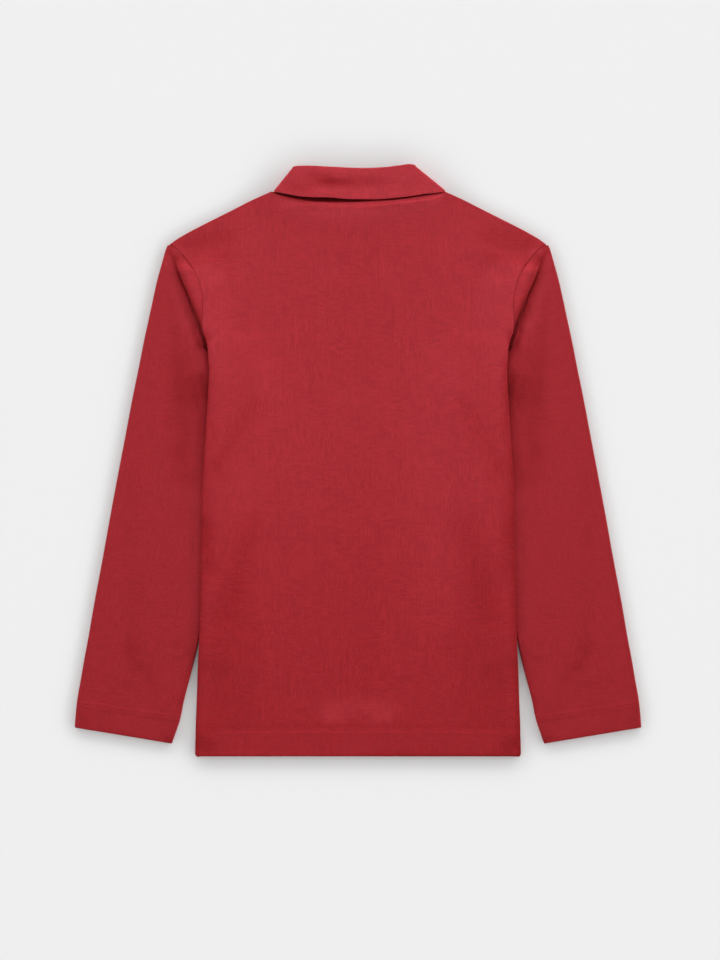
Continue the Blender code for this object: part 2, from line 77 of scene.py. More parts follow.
@dataclass(frozen=True)
class Curve:
    """A smooth line through measured points that doesn't overshoot them.

    Attributes:
        points: Pairs of place and value, in any order.
    """

    points: tuple[tuple[float, float], ...]

    def at(self, place: Array | float) -> Array:
        """Reads the line.

        Args:
            place: One or more places. Past the ends the line keeps its last value.

        Returns:
            The value at each place.
        """
        rows = np.array(sorted(self.points))
        x, y = rows[:, 0], rows[:, 1]
        step = np.diff(x)
        slope = np.diff(y) / step
        same_way = slope[:-1] * slope[1:] > 0.0
        safe = np.where(same_way, slope[:-1], 1.0), np.where(same_way, slope[1:], 1.0)
        first, second = 2.0 * step[1:] + step[:-1], step[1:] + 2.0 * step[:-1]
        inner = np.where(same_way, (first + second) / (first / safe[0] + second / safe[1]), 0.0)
        tangent = np.concatenate([slope[:1], inner, slope[-1:]])
        held = np.clip(np.asarray(place, float), x[0], x[-1])
        i = np.clip(np.searchsorted(x, held, side="right") - 1, 0, len(step) - 1)
        t = (held - x[i]) / step[i]
        rise = y[i + 1] - y[i]
        start, end = tangent[i] * step[i], tangent[i + 1] * step[i]
        return y[i] + t * (start + t * (3.0 * rise - 2.0 * start - end + t * (start + end - 2.0 * rise)))


def soft(share: Array | float) -> Array:
    """Makes an even step.

    Args:
        share: Where on the step, from 0 to 1.

    Returns:
        The height of the step there, from 0 to 1.
    """
    held = np.clip(share, 0.0, 1.0)
    return held * held * (3.0 - 2.0 * held)


def bell(distance: Array | float, reach: float) -> Array:
    """Makes a soft bump.

    Args:
        distance: Distance from its middle.
        reach: Distance at which it is down to a third.

    Returns:
        Its height there, at most 1.
    """
    return np.exp(-((np.asarray(distance) / reach) ** 2))


@dataclass(frozen=True)
class Outline:
    """The measured outline of the laid garment, the same for both sides but for the collar."""

    sleeve_outer: Curve = Curve((
        (-227.2, 240.9), (-220.8, 240.5), (-203.8, 238.8), (-186.8, 235.8), (-169.8, 232.9),
        (-152.8, 229.7), (-118.8, 223.8), (-84.8, 217.4), (-50.8, 211.3), (-16.8, 205), (17.2, 198.5),
        (51.2, 192.1), (85.2, 185.2), (102.2, 181.9), (119.2, 178.2), (136.2, 174.5), (153.2, 170.7),
        (161.7, 168.4), (170.2, 166), (177, 164.1), (180.4, 163), (183, 161.7)))  # fmt: skip
    sleeve_inner: Curve = Curve((
        (-240.9, 158.1), (-230.1, 154.3), (-220.8, 151.2), (-203.8, 147.7), (-186.8, 143.3),
        (-170.6, 139), (-157.9, 136.1), (-135.8, 132.6), (-110.3, 130), (-84.8, 127.5), (-50.8, 125),
        (-27.8, 122.8), (0.2, 115.6), (17.2, 110.5), (40.2, 101.1), (59.7, 101.1), (76.7, 108.8),
        (86.9, 119), (97.1, 128.6)))  # fmt: skip
    sleeve_slant: Curve = Curve((
        (-227.2, -240.9), (-211, -224.2), (-206.5, -219.2), (-186.8, -198.5), (-169.8, -179.5),
        (-152.8, -160), (-127.3, -132), (-97.5, -101), (-63.5, -66), (-33.8, -35.5), (-4, -5), (21.5, 21),
        (42.7, 42.7), (97.1, 97.1), (170, 170), (178, 177.2), (183.1, 181.3)))  # fmt: skip
    body_edge: Curve = Curve((
        (-251.8, 138.9), (-237.8, 138.5), (-220.8, 138), (-203.8, 137.3), (-182.5, 136.6),
        (-157.9, 135.4), (-132.4, 134.3), (-108.6, 133.8), (-78.8, 133.5), (-49.9, 133.1), (-20.2, 132.2),
        (9.6, 130.4), (29.1, 129.1), (48.7, 127.9), (64, 127), (77.6, 126.7), (86.9, 127.2),
        (97.1, 128.1), (103.9, 130), (109.9, 132), (115.8, 132.4), (122.6, 132.1), (132.8, 131.8),
        (139.6, 132.1), (146.4, 133.4), (153.2, 135.6), (157.4, 137.6), (161.7, 140), (167.7, 144.1),
        (172.8, 148.2), (177, 151.7), (180.4, 155.2), (183.3, 160.2)))  # fmt: skip
    shoulder: Curve = Curve((
        (73.4, 228.4), (80.8, 225.3), (90.1, 221.2), (98.6, 217), (107.1, 212.7), (124.1, 204.2),
        (141.1, 195.5), (148.3, 191.5), (155.5, 187), (160, 183.5)))  # fmt: skip
    collar_top: Curve = Curve((
        (-54.6, 249.4), (-49.3, 250), (-42.9, 250.1), (-25.5, 249.3), (6, 248.1), (22.1, 248.8),
        (35.7, 250.4), (44, 251.4), (50.2, 249.8)))  # fmt: skip
    collar_lower: Curve = Curve((
        (-72.2, 228.6), (-62.9, 226.5), (-52.7, 224.6), (-36.5, 223.4), (-23.8, 223), (-4.7, 222.2),
        (16.6, 222.2), (37.8, 224.2), (59.1, 227.2), (74.5, 228.9)))  # fmt: skip
    allowance_top: Curve = Curve((
        (-73.4, 227.4), (-57.8, 223.1), (-47.2, 221.1), (-33.1, 219.7), (-10.2, 219.2), (11, 220),
        (23, 220.6), (37.8, 221.9), (48.5, 223.6), (57, 224.8), (65.5, 226), (73.4, 227.4)))  # fmt: skip
    allowance_foot: Curve = Curve((
        (-73.4, 224.9), (-57.8, 219.1), (-47.2, 217), (-25.9, 215.3), (-4.7, 214.8), (16.6, 215.9),
        (37.8, 218.4), (48.5, 219.6), (59.1, 221), (66, 222.4), (73.4, 224.8)))  # fmt: skip
    slope_top: Curve = Curve((
        (-251.8, 125.8), (-203.8, 125.8), (-182.5, 127.5), (-159.6, 132), (-135.8, 130.3),
        (-110.3, 127.7), (-84.8, 125.2), (-50.8, 122.6), (-27.8, 120.5), (0.2, 113.3), (17.2, 108),
        (40.2, 98.4), (59.7, 98.4), (76.7, 105.8), (86.9, 115.8), (97.1, 123.6), (109.9, 123.6),
        (136.2, 119), (161.7, 120.7), (183.3, 136)))  # fmt: skip
    slope_foot: Curve = Curve((
        (-251.8, 80.8), (-203.8, 80.8), (-182.5, 85), (-159.6, 95.2), (-135.8, 100.3), (-110.3, 102),
        (-84.8, 100.3), (-50.8, 98.6), (-27.8, 96.9), (0.2, 90.1), (17.2, 85), (40.2, 75.5), (59.7, 74.8),
        (76.7, 81.6), (86.9, 88.4), (97.1, 93.5), (109.9, 95.2), (136.2, 90.1), (161.7, 83.3),
        (183.3, 73.4)))  # fmt: skip
    hem: float = -251.65
    armpit: float = 97.1
    armpit_top: float = 109.9  # above this the rows of the body bend towards the shoulders
    body_tip: float = 180.4  # last height along the armhole before the shoulder's own rows
    shoulder_tip: float = 160.0
    shoulder_tip_along: float = 183.5
    neck_half: float = 73.4
    neck_cover: float = 0.5  # the collar's lower edge hides this much of the neckline seam
    neck_bare: float = 1.1  # and this much less at the ends of the neck
    neck_bare_from: float = 52.0
    neck_bare_over: float = 12.0
    foot_margin: float = 1.2  # from the last even row up to the foot of the raised allowance
    front_neck_drop: float = 12.0
    shoulder_lean: float = math.atan2(1.0, 2.0)

    def front_drop(self, across: Array) -> Array:
        """How far the front neckline hangs below the back one, at places across the neck."""
        return self.front_neck_drop * np.maximum(0.0, 1.0 - (across / self.neck_half) ** 2)

    def neck_line(self, across: Array) -> Array:
        """How far along the garment the back panel meets the collar, at places across the neck."""
        bare = self.neck_bare * soft((np.abs(across) - self.neck_bare_from) / self.neck_bare_over)
        return self.collar_lower.at(across) + self.neck_cover - bare

    def base_along(self, across: Array, face: Face) -> Array:
        """Where the last evenly spaced row of a body panel runs.

        Args:
            across: Places across the panel.
            face: Which panel.

        Returns:
            How far along the garment the row runs at each.
        """
        half = np.abs(across)
        places = (self.neck_half, 90.0, 140.0, self.shoulder_tip)
        left_to_roll = (4.7, 8.0, 8.0, self.shoulder_tip_along - self.body_tip)
        beside = self.shoulder.at(half) - np.interp(half, places, left_to_roll)
        drop = self.front_drop(across) if face is Face.FRONT else 0.0
        below = self.allowance_foot.at(across) - self.foot_margin - drop
        return np.where(half >= self.neck_half - 0.01, beside, below)


@dataclass(frozen=True)
class Layers:
    """Thickness of the cloth and how the layers lie on each other.

    The curves are read by place along the garment. lift is the body's share of tuck_lift, roll how
    far its side is turned down, the pleat curves place the sleeve's fold beside the armhole and
    turn it by degrees, sewn is the painted shade along the seam, and fold_line and
    fold_painted_shade say where the painted shade beside the fold is darkest and by what share.
    """

    wall: float = 1.2
    hem_wall: float = 1.8
    cuff_wall: float = 1.4
    band_wall: float = 1.6
    seam_gap: float = 0.3
    space: float = 1.0  # between the front and back panels
    sleeve_space: float = 0.9  # between a sleeve's two layers
    neck_rise: float = 1.9  # of both panels at the neckline
    neck_bump: float = 0.6  # further rise of the back
    neck_reach: float = 34.0
    tuck_lift: float = 3.7  # of the body where it lies on a sleeve
    back_reach: float = 36.0  # the back comes down from there over this much more width
    fold_turn: float = 0.9  # radius of the pleat, to the middle of the wall
    strip_raise: float = 0.5  # of the neckline's allowance below the collar
    neck_dip: float = 0.9  # of the back's edge where it joins the collar
    lift: Curve = Curve((
        (-192, 0), (-183, 0.18), (-170.5, 0.75), (-160.5, 1), (97.1, 1), (103.9, 0.6),
        (109.9, 0)))  # fmt: skip
    roll: Curve = Curve(((97.1, 1), (103.9, 0.5), (109.9, 0)))
    pleat_edge: Curve = Curve((
        (97.1, 128.9), (103.9, 131.6), (109.9, 133.9), (115.8, 136.2), (122.6, 138.7), (132.8, 141.3),
        (143, 144.5), (153.2, 149), (161.7, 152.1), (167.7, 154.4), (172.8, 156.3), (177, 158.4),
        (180.4, 160)))  # fmt: skip
    pleat_turn: Curve = Curve((
        (97.1, 0), (103.9, 60), (109.9, 115), (115.8, 165), (122.6, 180), (150, 180), (156, 165),
        (161.7, 115), (167.7, 50), (172.8, 15), (177, 4), (180.4, 0)))  # fmt: skip
    pleat_back: Curve = Curve((
        (97.1, 0.5), (103.9, 0.6), (109.9, 0.8), (115.8, 1.2), (122.6, 1.8), (132.8, 2.8), (143, 3.6),
        (153.2, 3.6), (161.7, 2.6), (167.7, 1.4), (172.8, 0.8), (177, 0.4), (180.4, 0)))  # fmt: skip
    # Painted shade along the seam.
    sewn: Curve = Curve((
        (100, 0.2), (108, 0), (160, 0.04), (166, 0.2), (171, 0.1), (177, 0.05), (183.3, 0.25)))  # fmt: skip
    fold_line: Curve = Curve((
        (78.4, 127.9), (85.2, 128.4), (92, 128.8), (98.8, 130), (102.7, 131), (109.9, 132.6),
        (120.3, 136.5), (129.4, 140.4), (139.2, 144.3), (150.2, 149.5), (162.6, 154), (171.7, 157.3),
        (180, 159.6)))  # fmt: skip
    # Painted shade beside the armhole's fold, as a share.
    fold_painted_shade: Curve = Curve((
        (-60, 0.05), (0, 0.15), (30, 0.28), (50, 0.45), (61, 0.6), (70, 0.5), (78, 0.35), (85, 0.4),
        (92, 0.6), (98, 0.6), (104, 0.7), (112, 1), (130, 1), (150, 0.9), (158, 0.75), (165, 0.5),
        (173, 0.25), (180, 0)))  # fmt: skip

    def sleeve_levels(self, wall: Array | float) -> tuple[Array, Array]:
        """Heights of the middle of a sleeve's lower and upper layer, of a wall's thickness."""
        return np.asarray(wall) / 2.0, np.asarray(wall) * 1.5 + self.sleeve_space

    def cap_height(self, along: Array) -> Array:
        """Height of the sleeve's pleated upper layer beside the armhole.

        Args:
            along: Places along the armhole.

        Returns:
            The height at each.
        """
        turn = np.radians(self.pleat_turn.at(along))
        upper = self.sleeve_levels(self.wall)[1]
        step = 2.0 * self.fold_turn * (1.0 - np.cos(turn))
        return upper + step + self.pleat_back.at(along) * np.sin(turn)


# Cloth as a grid


EDGE_STEPS = (0.0, 0.08, 0.25, 0.5, 0.8, 1.2, 1.7, 2.5, 3.8)  # distances from a free edge
RIM_STEPS = EDGE_STEPS[:6]  # those within the rounded rim


def rolled(distance: Array, angle: Array, radius: float) -> tuple[Array, Array]:
    """Follows cloth that turns down over its last few millimetres.

    Args:
        distance: Distance along the cloth from its free edge.
        angle: How far the cloth has turned at its edge.
        radius: Radius of the turn.

    Returns:
        How far inside the edge each place is, and how far below the flat cloth.
    """
    tilt = np.clip(angle - distance / radius, 0.0, None)
    flat = np.clip(distance - radius * angle, 0.0, None)
    inset = radius * (np.sin(angle) - np.sin(tilt)) + flat
    return inset, radius * (1.0 - np.cos(tilt))


def hem_rows(edge: float, seam_foot: float, seam_top: float) -> list[float]:
    """Rows over a turned-up hem: closest at its edge, and close at its stitches.

    Args:
        edge: Place of the free edge.
        seam_foot: Place where the close rows at the stitches start.
        seam_top: Place where they end.

    Returns:
        The place of each row.
    """
    spread = np.arange(edge + 2.0 * RIM_STEPS[-1], seam_foot - 0.5, 1.8)
    return [*(edge + step for step in RIM_STEPS), *spread, *np.arange(seam_foot, seam_top, 0.5)]


def twin_relief(lower: Array, upper: Array, ridge: float, dent: float) -> Array:
    """Small dents along two rows of stitches and a low ridge between them.

    Args:
        lower: Distance of each place from the first row.
        upper: Distance from the second.
        ridge: Height of the ridge.
        dent: Depth of the dents.

    Returns:
        The height to add at each place.
    """
    dents = bell(lower, 0.55) + bell(upper, 0.55)
    return ridge * bell((lower + upper) / 2.0, 1.1) - dent * dents


@dataclass
class ClothGrid:
    """One layer of cloth, as a grid of points halfway through it.

    Attributes:
        middle: The points, by row and column.
        wall: Thickness at each point.
        edge: Distance along the cloth from each point to the nearest free edge.
        grain: Place of each point on the flat cloth, across and along its wales.
        tone: Painted light and shade at each point, multiplied into its colour; 1 leaves its usual colour.
        ring: Whether the last column meets the first.
    """

    middle: Array
    wall: Array
    edge: Array
    grain: Array
    tone: Array
    ring: bool = False
    _normal: Array | None = field(default=None, repr=False)

    def normal(self) -> Array:
        """Unit normals, from the steps to each side of a point.

        Returns:
            The normal at each point.
        """
        if self._normal is None:
            if self.ring:
                across = np.roll(self.middle, -1, axis=1) - np.roll(self.middle, 1, axis=1)
            else:
                across = np.gradient(self.middle, axis=1)
            way = np.cross(across, np.gradient(self.middle, axis=0))
            self._normal = way / np.maximum(np.linalg.norm(way, axis=-1, keepdims=True), 1e-9)
        return self._normal

    def half_wall(self) -> Array:
        """Half the thickness, rounded off along the free edges.

        Returns:
            The half thickness at each point.
        """
        radius = self.wall / 2.0
        inside = np.clip(radius - self.edge, 0.0, radius)
        return np.maximum(np.sqrt(radius**2 - inside**2), 0.07)

    def outside(self, up: int) -> Array:
        """Points of the face that the normals point to, for 1, or of the other one, for -1."""
        return self.middle + up * self.normal() * self.half_wall()[..., None]

    def faces(self) -> Array:
        """Squares of both faces and of the rim between them, all wound the same way.

        Returns:
            The corner numbers of each square.
        """
        rows, columns = self.wall.shape
        number = np.arange(rows * columns).reshape(rows, columns)
        if self.ring:
            number = np.concatenate([number, number[:, :1]], axis=1)
        under = rows * columns
        a, b, c, d = number[:-1, :-1], number[:-1, 1:], number[1:, 1:], number[1:, :-1]
        squares = np.stack([a, b, c, d], axis=-1).reshape(-1, 4)
        found = [squares, squares[:, ::-1] + under]
        rims = [number[0, ::-1], number[-1]]
        if not self.ring:
            rims += [number[:, 0], number[::-1, -1]]
        for line in rims:
            found.append(np.stack([line[:-1], line[1:], line[1:] + under, line[:-1] + under], axis=-1))
        return np.concatenate(found)

    def build(self, name: str) -> bpy.types.Object:
        """Makes the closed wall of cloth.

        Args:
            name: Name of the piece.

        Returns:
            The piece, in the scene.
        """
        points = np.concatenate([self.outside(1).reshape(-1, 3), self.outside(-1).reshape(-1, 3)])
        faces = self.faces()
        a, b, c, d = (points[faces[:, i]] for i in range(4))
        volume = np.einsum("ij,ij->i", a, np.cross(b, c)) + np.einsum("ij,ij->i", a, np.cross(c, d))
        if volume.sum() < 0.0:
            faces = faces[:, ::-1]
        mesh = bpy.data.meshes.new(name)
        mesh.from_pydata((points * METRES).tolist(), [], faces.tolist())
        flat = np.tile(self.grain.reshape(-1, 2), (2, 1)) * METRES
        corners = np.empty(len(mesh.loops), np.int32)
        mesh.loops.foreach_get("vertex_index", corners)
        layer = mesh.uv_layers.new(name=CLOTH_MAP)
        layer.data.foreach_set("uv", flat[corners].astype(np.float32).ravel())
        # The painted light and shade goes onto the mesh as a point attribute.
        tone = mesh.attributes.new(PAINTED_LIGHT, "FLOAT", "POINT")
        tone.data.foreach_set("value", np.tile(self.tone.ravel(), 2).astype(np.float32))
        mesh.shade_smooth()
        piece = bpy.data.objects.new(name, mesh)
        bpy.context.scene.collection.objects.link(piece)
        return piece

    def surface(self, row: Array, column: Array, up: int) -> tuple[Array, Array]:
        """Points between the grid's own, on one face of the cloth.

        Args:
            row: Rows, which may lie between whole ones.
            column: Columns, likewise.
            up: Which face, as for outside().

        Returns:
            The points, and the way that the face looks at each.
        """
        i = np.clip(row.astype(int), 0, self.wall.shape[0] - 2)
        j = np.clip(column.astype(int), 0, self.wall.shape[1] - 2)
        s, t = (row - i)[:, None], (column - j)[:, None]

        def read(values: Array) -> Array:
            """Mixes the four grid values round each place.

            Args:
                values: Values of the grid's points.

            Returns:
                The mixed values.
            """
            low = values[i, j] * (1.0 - t) + values[i, j + 1] * t
            high = values[i + 1, j] * (1.0 - t) + values[i + 1, j + 1] * t
            return low * (1.0 - s) + high * s

        return read(self.outside(up)), read(self.normal()) * up


@dataclass(frozen=True)
class Mark:
    """A soft hollow or ridge of the cloth and painted light and shade on it, round a line between two places.

    Attributes:
        start: Across and along of one end.
        end: Across and along of the other.
        reach: Distance from the line at which it is down to a third.
        rise: Height of the cloth there, below 0 for a hollow.
        tone: How much lighter the cloth is painted there, below 0 for painted shade.
    """

    start: tuple[float, float]
    end: tuple[float, float]
    reach: float
    rise: float = 0.0
    tone: float = 0.0

    def weight(self, across: Array, along: Array) -> Array:
        """How strong the mark is.

        Args:
            across: Places across the garment.
            along: Places along it.

        Returns:
            Its strength at each, at most 1.
        """
        (x, y), (dx, dy) = self.start, np.subtract(self.end, self.start)
        length = max(dx * dx + dy * dy, 1e-6)
        share = np.clip(((across - x) * dx + (along - y) * dy) / length, 0.0, 1.0)
        return bell(np.hypot(across - x - share * dx, along - y - share * dy), self.reach)


def marked(marks: tuple[Mark, ...], across: Array, along: Array) -> tuple[Array, Array]:
    """Adds marks up.

    Args:
        marks: The marks.
        across: Places across the garment.
        along: Places along it.

    Returns:
        The rise and the painted light and shade at each place.
    """
    rise, tone = np.zeros(np.shape(across)), np.zeros(np.shape(across))
    for mark in marks:
        weight = mark.weight(across, along)
        rise += mark.rise * weight
        tone += mark.tone * weight
    return rise, tone


# Finishes


@dataclass(frozen=True)
class NodeTree:
    """Short ways to add and join the nodes of one material."""

    tree: bpy.types.NodeTree

    def add(self, kind: str, **settings: object) -> bpy.types.Node:
        """Adds a node.

        Args:
            kind: The node's type, without ShaderNode.
            settings: Its properties.

        Returns:
            The node.
        """
        node = self.tree.nodes.new("ShaderNode" + kind)
        for name, value in settings.items():
            setattr(node, name, value)
        return node

    def feed(self, socket: bpy.types.NodeSocket, value: object) -> None:
        """Links a socket to an output, or sets its value.

        Args:
            socket: The input.
            value: An output to link from, or what to set.
        """
        if isinstance(value, bpy.types.NodeSocket):
            self.tree.links.new(value, socket)
        else:
            socket.default_value = value

    def math(self, what: str, first: object, second: object = 0.0, third: object = 0.0) -> object:
        """Adds a Math node.

        Args:
            what: Its operation.
            first: First number or output.
            second: Second number or output.
            third: Third number or output.

        Returns:
            Its output.
        """
        node = self.add("Math", operation=what)
        for socket, value in zip(node.inputs, (first, second, third)):
            self.feed(socket, value)
        return node.outputs[0]

    def noise(self, place: object, scale: float, detail: float = 2.0) -> object:
        """Adds noise.

        Args:
            place: Output that gives the place.
            scale: How fine the noise is.
            detail: How many finer steps it has.

        Returns:
            Its output, from 0 to 1.
        """
        node = self.add("TexNoise")
        self.feed(node.inputs["Vector"], place)
        node.inputs["Scale"].default_value = scale
        node.inputs["Detail"].default_value = detail
        return node.outputs["Fac"]

    def stretched(self, place: object, across: float, along: float) -> object:
        """Scales a place on the cloth before it is read.

        Args:
            place: Output that gives the place, in metres.
            across: Scale across the wales.
            along: Scale along the wales.

        Returns:
            The scaled place.
        """
        node = self.add("VectorMath", operation="MULTIPLY")
        self.feed(node.inputs[0], place)
        node.inputs[1].default_value = (across, along, 1.0)
        return node.outputs[0]


@dataclass(frozen=True)
class KnitFinish:
    """Fine brushed cotton knit.

    Attributes:
        name: Name of the material.
        colour: Its dye, linear.
        wale: Width of one column of loops, in millimetres.
        course: Height of one row of loops.
        relief: Depth of the loops' bump.
        ticks: How much short runs of loops differ in lightness.
        run_width: Width of one run.
        run_length: Length of one run.
        grain: How much single loops differ.
        streak: How much whole columns differ.
        mottle: How uneven the dye is over centimetres.
        rough: Roughness of the yarn.
        fuzz: Sheen of its fibres.
        painted_shade_deepening: How much less green and blue than red the cloth has where painted shade
            darkens it.
        flecked: Colour of the pale fibres that stand out.
        streak_cells: Cells of the columns' noise, in a metre across and along the wales.
        grain_cells: Those of the loops' noise.
        fleck_cells: Those of the pale fibres.
        mottle_cells: Those of the dye, in a metre.
        patch_cells: Those that choose between upright and level runs.
    """

    name: str
    colour: tuple[float, float, float] = (0.354, 0.0219, 0.0302)
    wale: float = 1.15
    course: float = 0.95
    relief: float = 0.16
    ticks: float = 0.16
    run_width: float = 1.5
    run_length: float = 6.0
    grain: float = 0.62
    streak: float = 0.10
    mottle: float = 0.08
    rough: float = 0.86
    fuzz: float = 0.10
    painted_shade_deepening: float = 1.4
    flecked: tuple[float, float, float, float] = (0.60, 0.16, 0.17, 1.0)
    streak_cells: tuple[float, float] = (420.0, 20.0)
    grain_cells: tuple[float, float] = (1100.0, 900.0)
    fleck_cells: tuple[float, float] = (420.0, 1500.0)
    mottle_cells: float = 60.0
    patch_cells: float = 34.0

    def loops(self, nodes: NodeTree, across: object, along: object) -> object:
        """Height of the knit: columns of small slanted loops.

        Args:
            nodes: The material's nodes.
            across: Output with the place across the wales, in metres.
            along: Output with the place along them.

        Returns:
            The height, from 0 to 1.
        """
        column = nodes.math("FRACT", nodes.math("MULTIPLY", across, 1.0 / (self.wale * METRES)))
        off_centre = nodes.math("ABSOLUTE", nodes.math("SUBTRACT", column, 0.5))
        ridge = nodes.math("SINE", nodes.math("MULTIPLY", column, math.pi))
        row = nodes.math("MULTIPLY", along, 1.0 / (self.course * METRES))
        slanted = nodes.math("ADD", row, nodes.math("MULTIPLY", off_centre, 1.1))
        yarn = nodes.math("SINE", nodes.math("MULTIPLY", slanted, 2.0 * math.pi))
        yarn = nodes.math("MULTIPLY_ADD", yarn, 0.25, 0.75)
        return nodes.math("MULTIPLY", nodes.math("POWER", ridge, 0.7), yarn)

    def runs(self, nodes: NodeTree, beside: object, onward: object) -> object:
        """Lightness of short runs of loops that lie side by side, each a little different.

        Args:
            nodes: The material's nodes.
            beside: Output with the place across the runs, in metres.
            onward: Output with the place along them.

        Returns:
            The lightness, from 0 to 1.
        """
        lane = nodes.math("FLOOR", nodes.math("MULTIPLY", beside, 1.0 / (self.run_width * METRES)))
        shift = nodes.add("TexWhiteNoise", noise_dimensions="1D")
        nodes.feed(shift.inputs["W"], lane)
        begun = nodes.math("MULTIPLY_ADD", onward, 1.0 / (self.run_length * METRES), shift.outputs["Value"])
        corner = nodes.add("CombineXYZ")
        nodes.feed(corner.inputs[0], lane)
        nodes.feed(corner.inputs[1], nodes.math("FLOOR", begun))
        cell = nodes.add("TexWhiteNoise", noise_dimensions="2D")
        nodes.feed(cell.inputs["Vector"], corner.outputs[0])
        return cell.outputs["Value"]

    def make(self) -> bpy.types.Material:
        """Makes the material.

        Returns:
            The material.
        """
        material = bpy.data.materials.new(self.name)
        material.use_nodes = True
        nodes = NodeTree(material.node_tree)
        shader = material.node_tree.nodes["Principled BSDF"]
        place = nodes.add("UVMap", uv_map=CLOTH_MAP).outputs["UV"]
        split = nodes.add("SeparateXYZ")
        nodes.feed(split.inputs[0], place)
        loops = self.loops(nodes, split.outputs[0], split.outputs[1])
        wales = nodes.noise(nodes.stretched(place, *self.streak_cells), 1.0, 2.0)
        upright = self.runs(nodes, split.outputs[0], split.outputs[1])
        level = self.runs(nodes, split.outputs[1], split.outputs[0])
        grain = nodes.noise(nodes.stretched(place, *self.grain_cells), 1.0, 2.0)
        mottle = nodes.noise(place, self.mottle_cells, 3.0)
        flecks = nodes.noise(nodes.stretched(place, *self.fleck_cells), 1.0, 1.0)
        patches = nodes.math("MULTIPLY_ADD", nodes.noise(place, self.patch_cells, 1.0), 4.0, -1.5)
        runs = nodes.add("Mix", data_type="FLOAT")
        nodes.feed(runs.inputs[0], patches)
        nodes.feed(runs.inputs[2], level)
        nodes.feed(runs.inputs[3], upright)

        # The attribute brings the painted light and shade, which is multiplied into the dye with the knit's
        # own variations.
        light = tone = nodes.add("Attribute", attribute_name=PAINTED_LIGHT).outputs["Fac"]
        # The loops' share is painted shade in the gaps between the loops.
        for amount, value in (
            (self.streak, wales), (self.ticks, runs.outputs[0]), (self.grain, grain),
            (self.mottle, mottle), (0.05, loops),
        ):  # fmt: skip
            change = nodes.math("MULTIPLY_ADD", nodes.math("SUBTRACT", value, 0.5), amount, 1.0)
            light = nodes.math("MULTIPLY", light, change)
        # Green and blue follow the painted light and shade more steeply than red.
        depth = nodes.math("POWER", nodes.math("MINIMUM", tone, 1.12), self.painted_shade_deepening)
        deep = nodes.math("MULTIPLY", light, depth)
        shades = nodes.add("CombineXYZ")
        for socket, value in zip(shades.inputs, (light, deep, deep)):
            nodes.feed(socket, value)
        dyed = nodes.add("VectorMath", operation="MULTIPLY")
        dyed.inputs[0].default_value = self.colour
        nodes.feed(dyed.inputs[1], shades.outputs[0])
        heather = nodes.add("MixRGB", blend_type="MIX")
        worn = nodes.math("SMOOTH_MAX", nodes.math("SUBTRACT", flecks, 0.60), 0.0, 0.05)
        nodes.feed(heather.inputs["Fac"], nodes.math("MULTIPLY", worn, 0.5))
        nodes.feed(heather.inputs["Color1"], dyed.outputs[0])
        heather.inputs["Color2"].default_value = self.flecked
        nodes.feed(shader.inputs["Base Color"], heather.outputs[0])

        rough = nodes.math("MULTIPLY_ADD", grain, 0.14, self.rough - 0.07)
        nodes.feed(shader.inputs["Roughness"], rough)
        shader.inputs["Specular IOR Level"].default_value = 0.08
        shader.inputs["Sheen Weight"].default_value = self.fuzz
        shader.inputs["Sheen Roughness"].default_value = 0.45
        shader.inputs["Sheen Tint"].default_value = (1.0, 0.4, 0.4, 1.0)

        height = nodes.math("MULTIPLY_ADD", grain, 0.9, loops)
        height = nodes.math("MULTIPLY_ADD", wales, 0.7, height)
        bump = nodes.add("Bump")
        bump.inputs["Strength"].default_value = 0.5
        bump.inputs["Distance"].default_value = self.relief * METRES
        nodes.feed(bump.inputs["Height"], height)
        nodes.feed(shader.inputs["Normal"], bump.outputs[0])
        return material


@dataclass(frozen=True)
class ThreadFinish:
    """Twisted polyester sewing thread in the cloth's colour."""

    name: str = "red_thread"
    colour: tuple[float, float, float] = (0.33, 0.0195, 0.028)
    ply: float = 0.55  # length of one twist, in millimetres

    def make(self) -> bpy.types.Material:
        """Makes the material.

        Returns:
            The material.
        """
        material = bpy.data.materials.new(self.name)
        material.use_nodes = True
        nodes = NodeTree(material.node_tree)
        shader = material.node_tree.nodes["Principled BSDF"]
        place = nodes.add("UVMap", uv_map=CLOTH_MAP).outputs["UV"]
        twist = nodes.add("TexWave", bands_direction="DIAGONAL")
        nodes.feed(twist.inputs["Vector"], place)
        twist.inputs["Scale"].default_value = 1.0 / (self.ply * METRES) / 8.0
        twist.inputs["Distortion"].default_value = 0.6
        shade = nodes.math("MULTIPLY_ADD", twist.outputs["Fac"], 0.25, 0.85)
        dyed = nodes.add("VectorMath", operation="SCALE")
        dyed.inputs[0].default_value = self.colour
        nodes.feed(dyed.inputs["Scale"], shade)
        nodes.feed(shader.inputs["Base Color"], dyed.outputs[0])
        shader.inputs["Roughness"].default_value = 0.6
        shader.inputs["Specular IOR Level"].default_value = 0.1
        bump = nodes.add("Bump")
        bump.inputs["Strength"].default_value = 0.4
        bump.inputs["Distance"].default_value = 0.05 * METRES
        nodes.feed(bump.inputs["Height"], twist.outputs["Fac"])
        nodes.feed(shader.inputs["Normal"], bump.outputs[0])
        return material


# Stitches


@dataclass(frozen=True)
class StitchLine:
    """A row of machine stitches on the cloth.

    Attributes:
        points: Places that it runs through, on the cloth.
        normals: The way that the cloth looks at each.
    """

    points: Array
    normals: Array


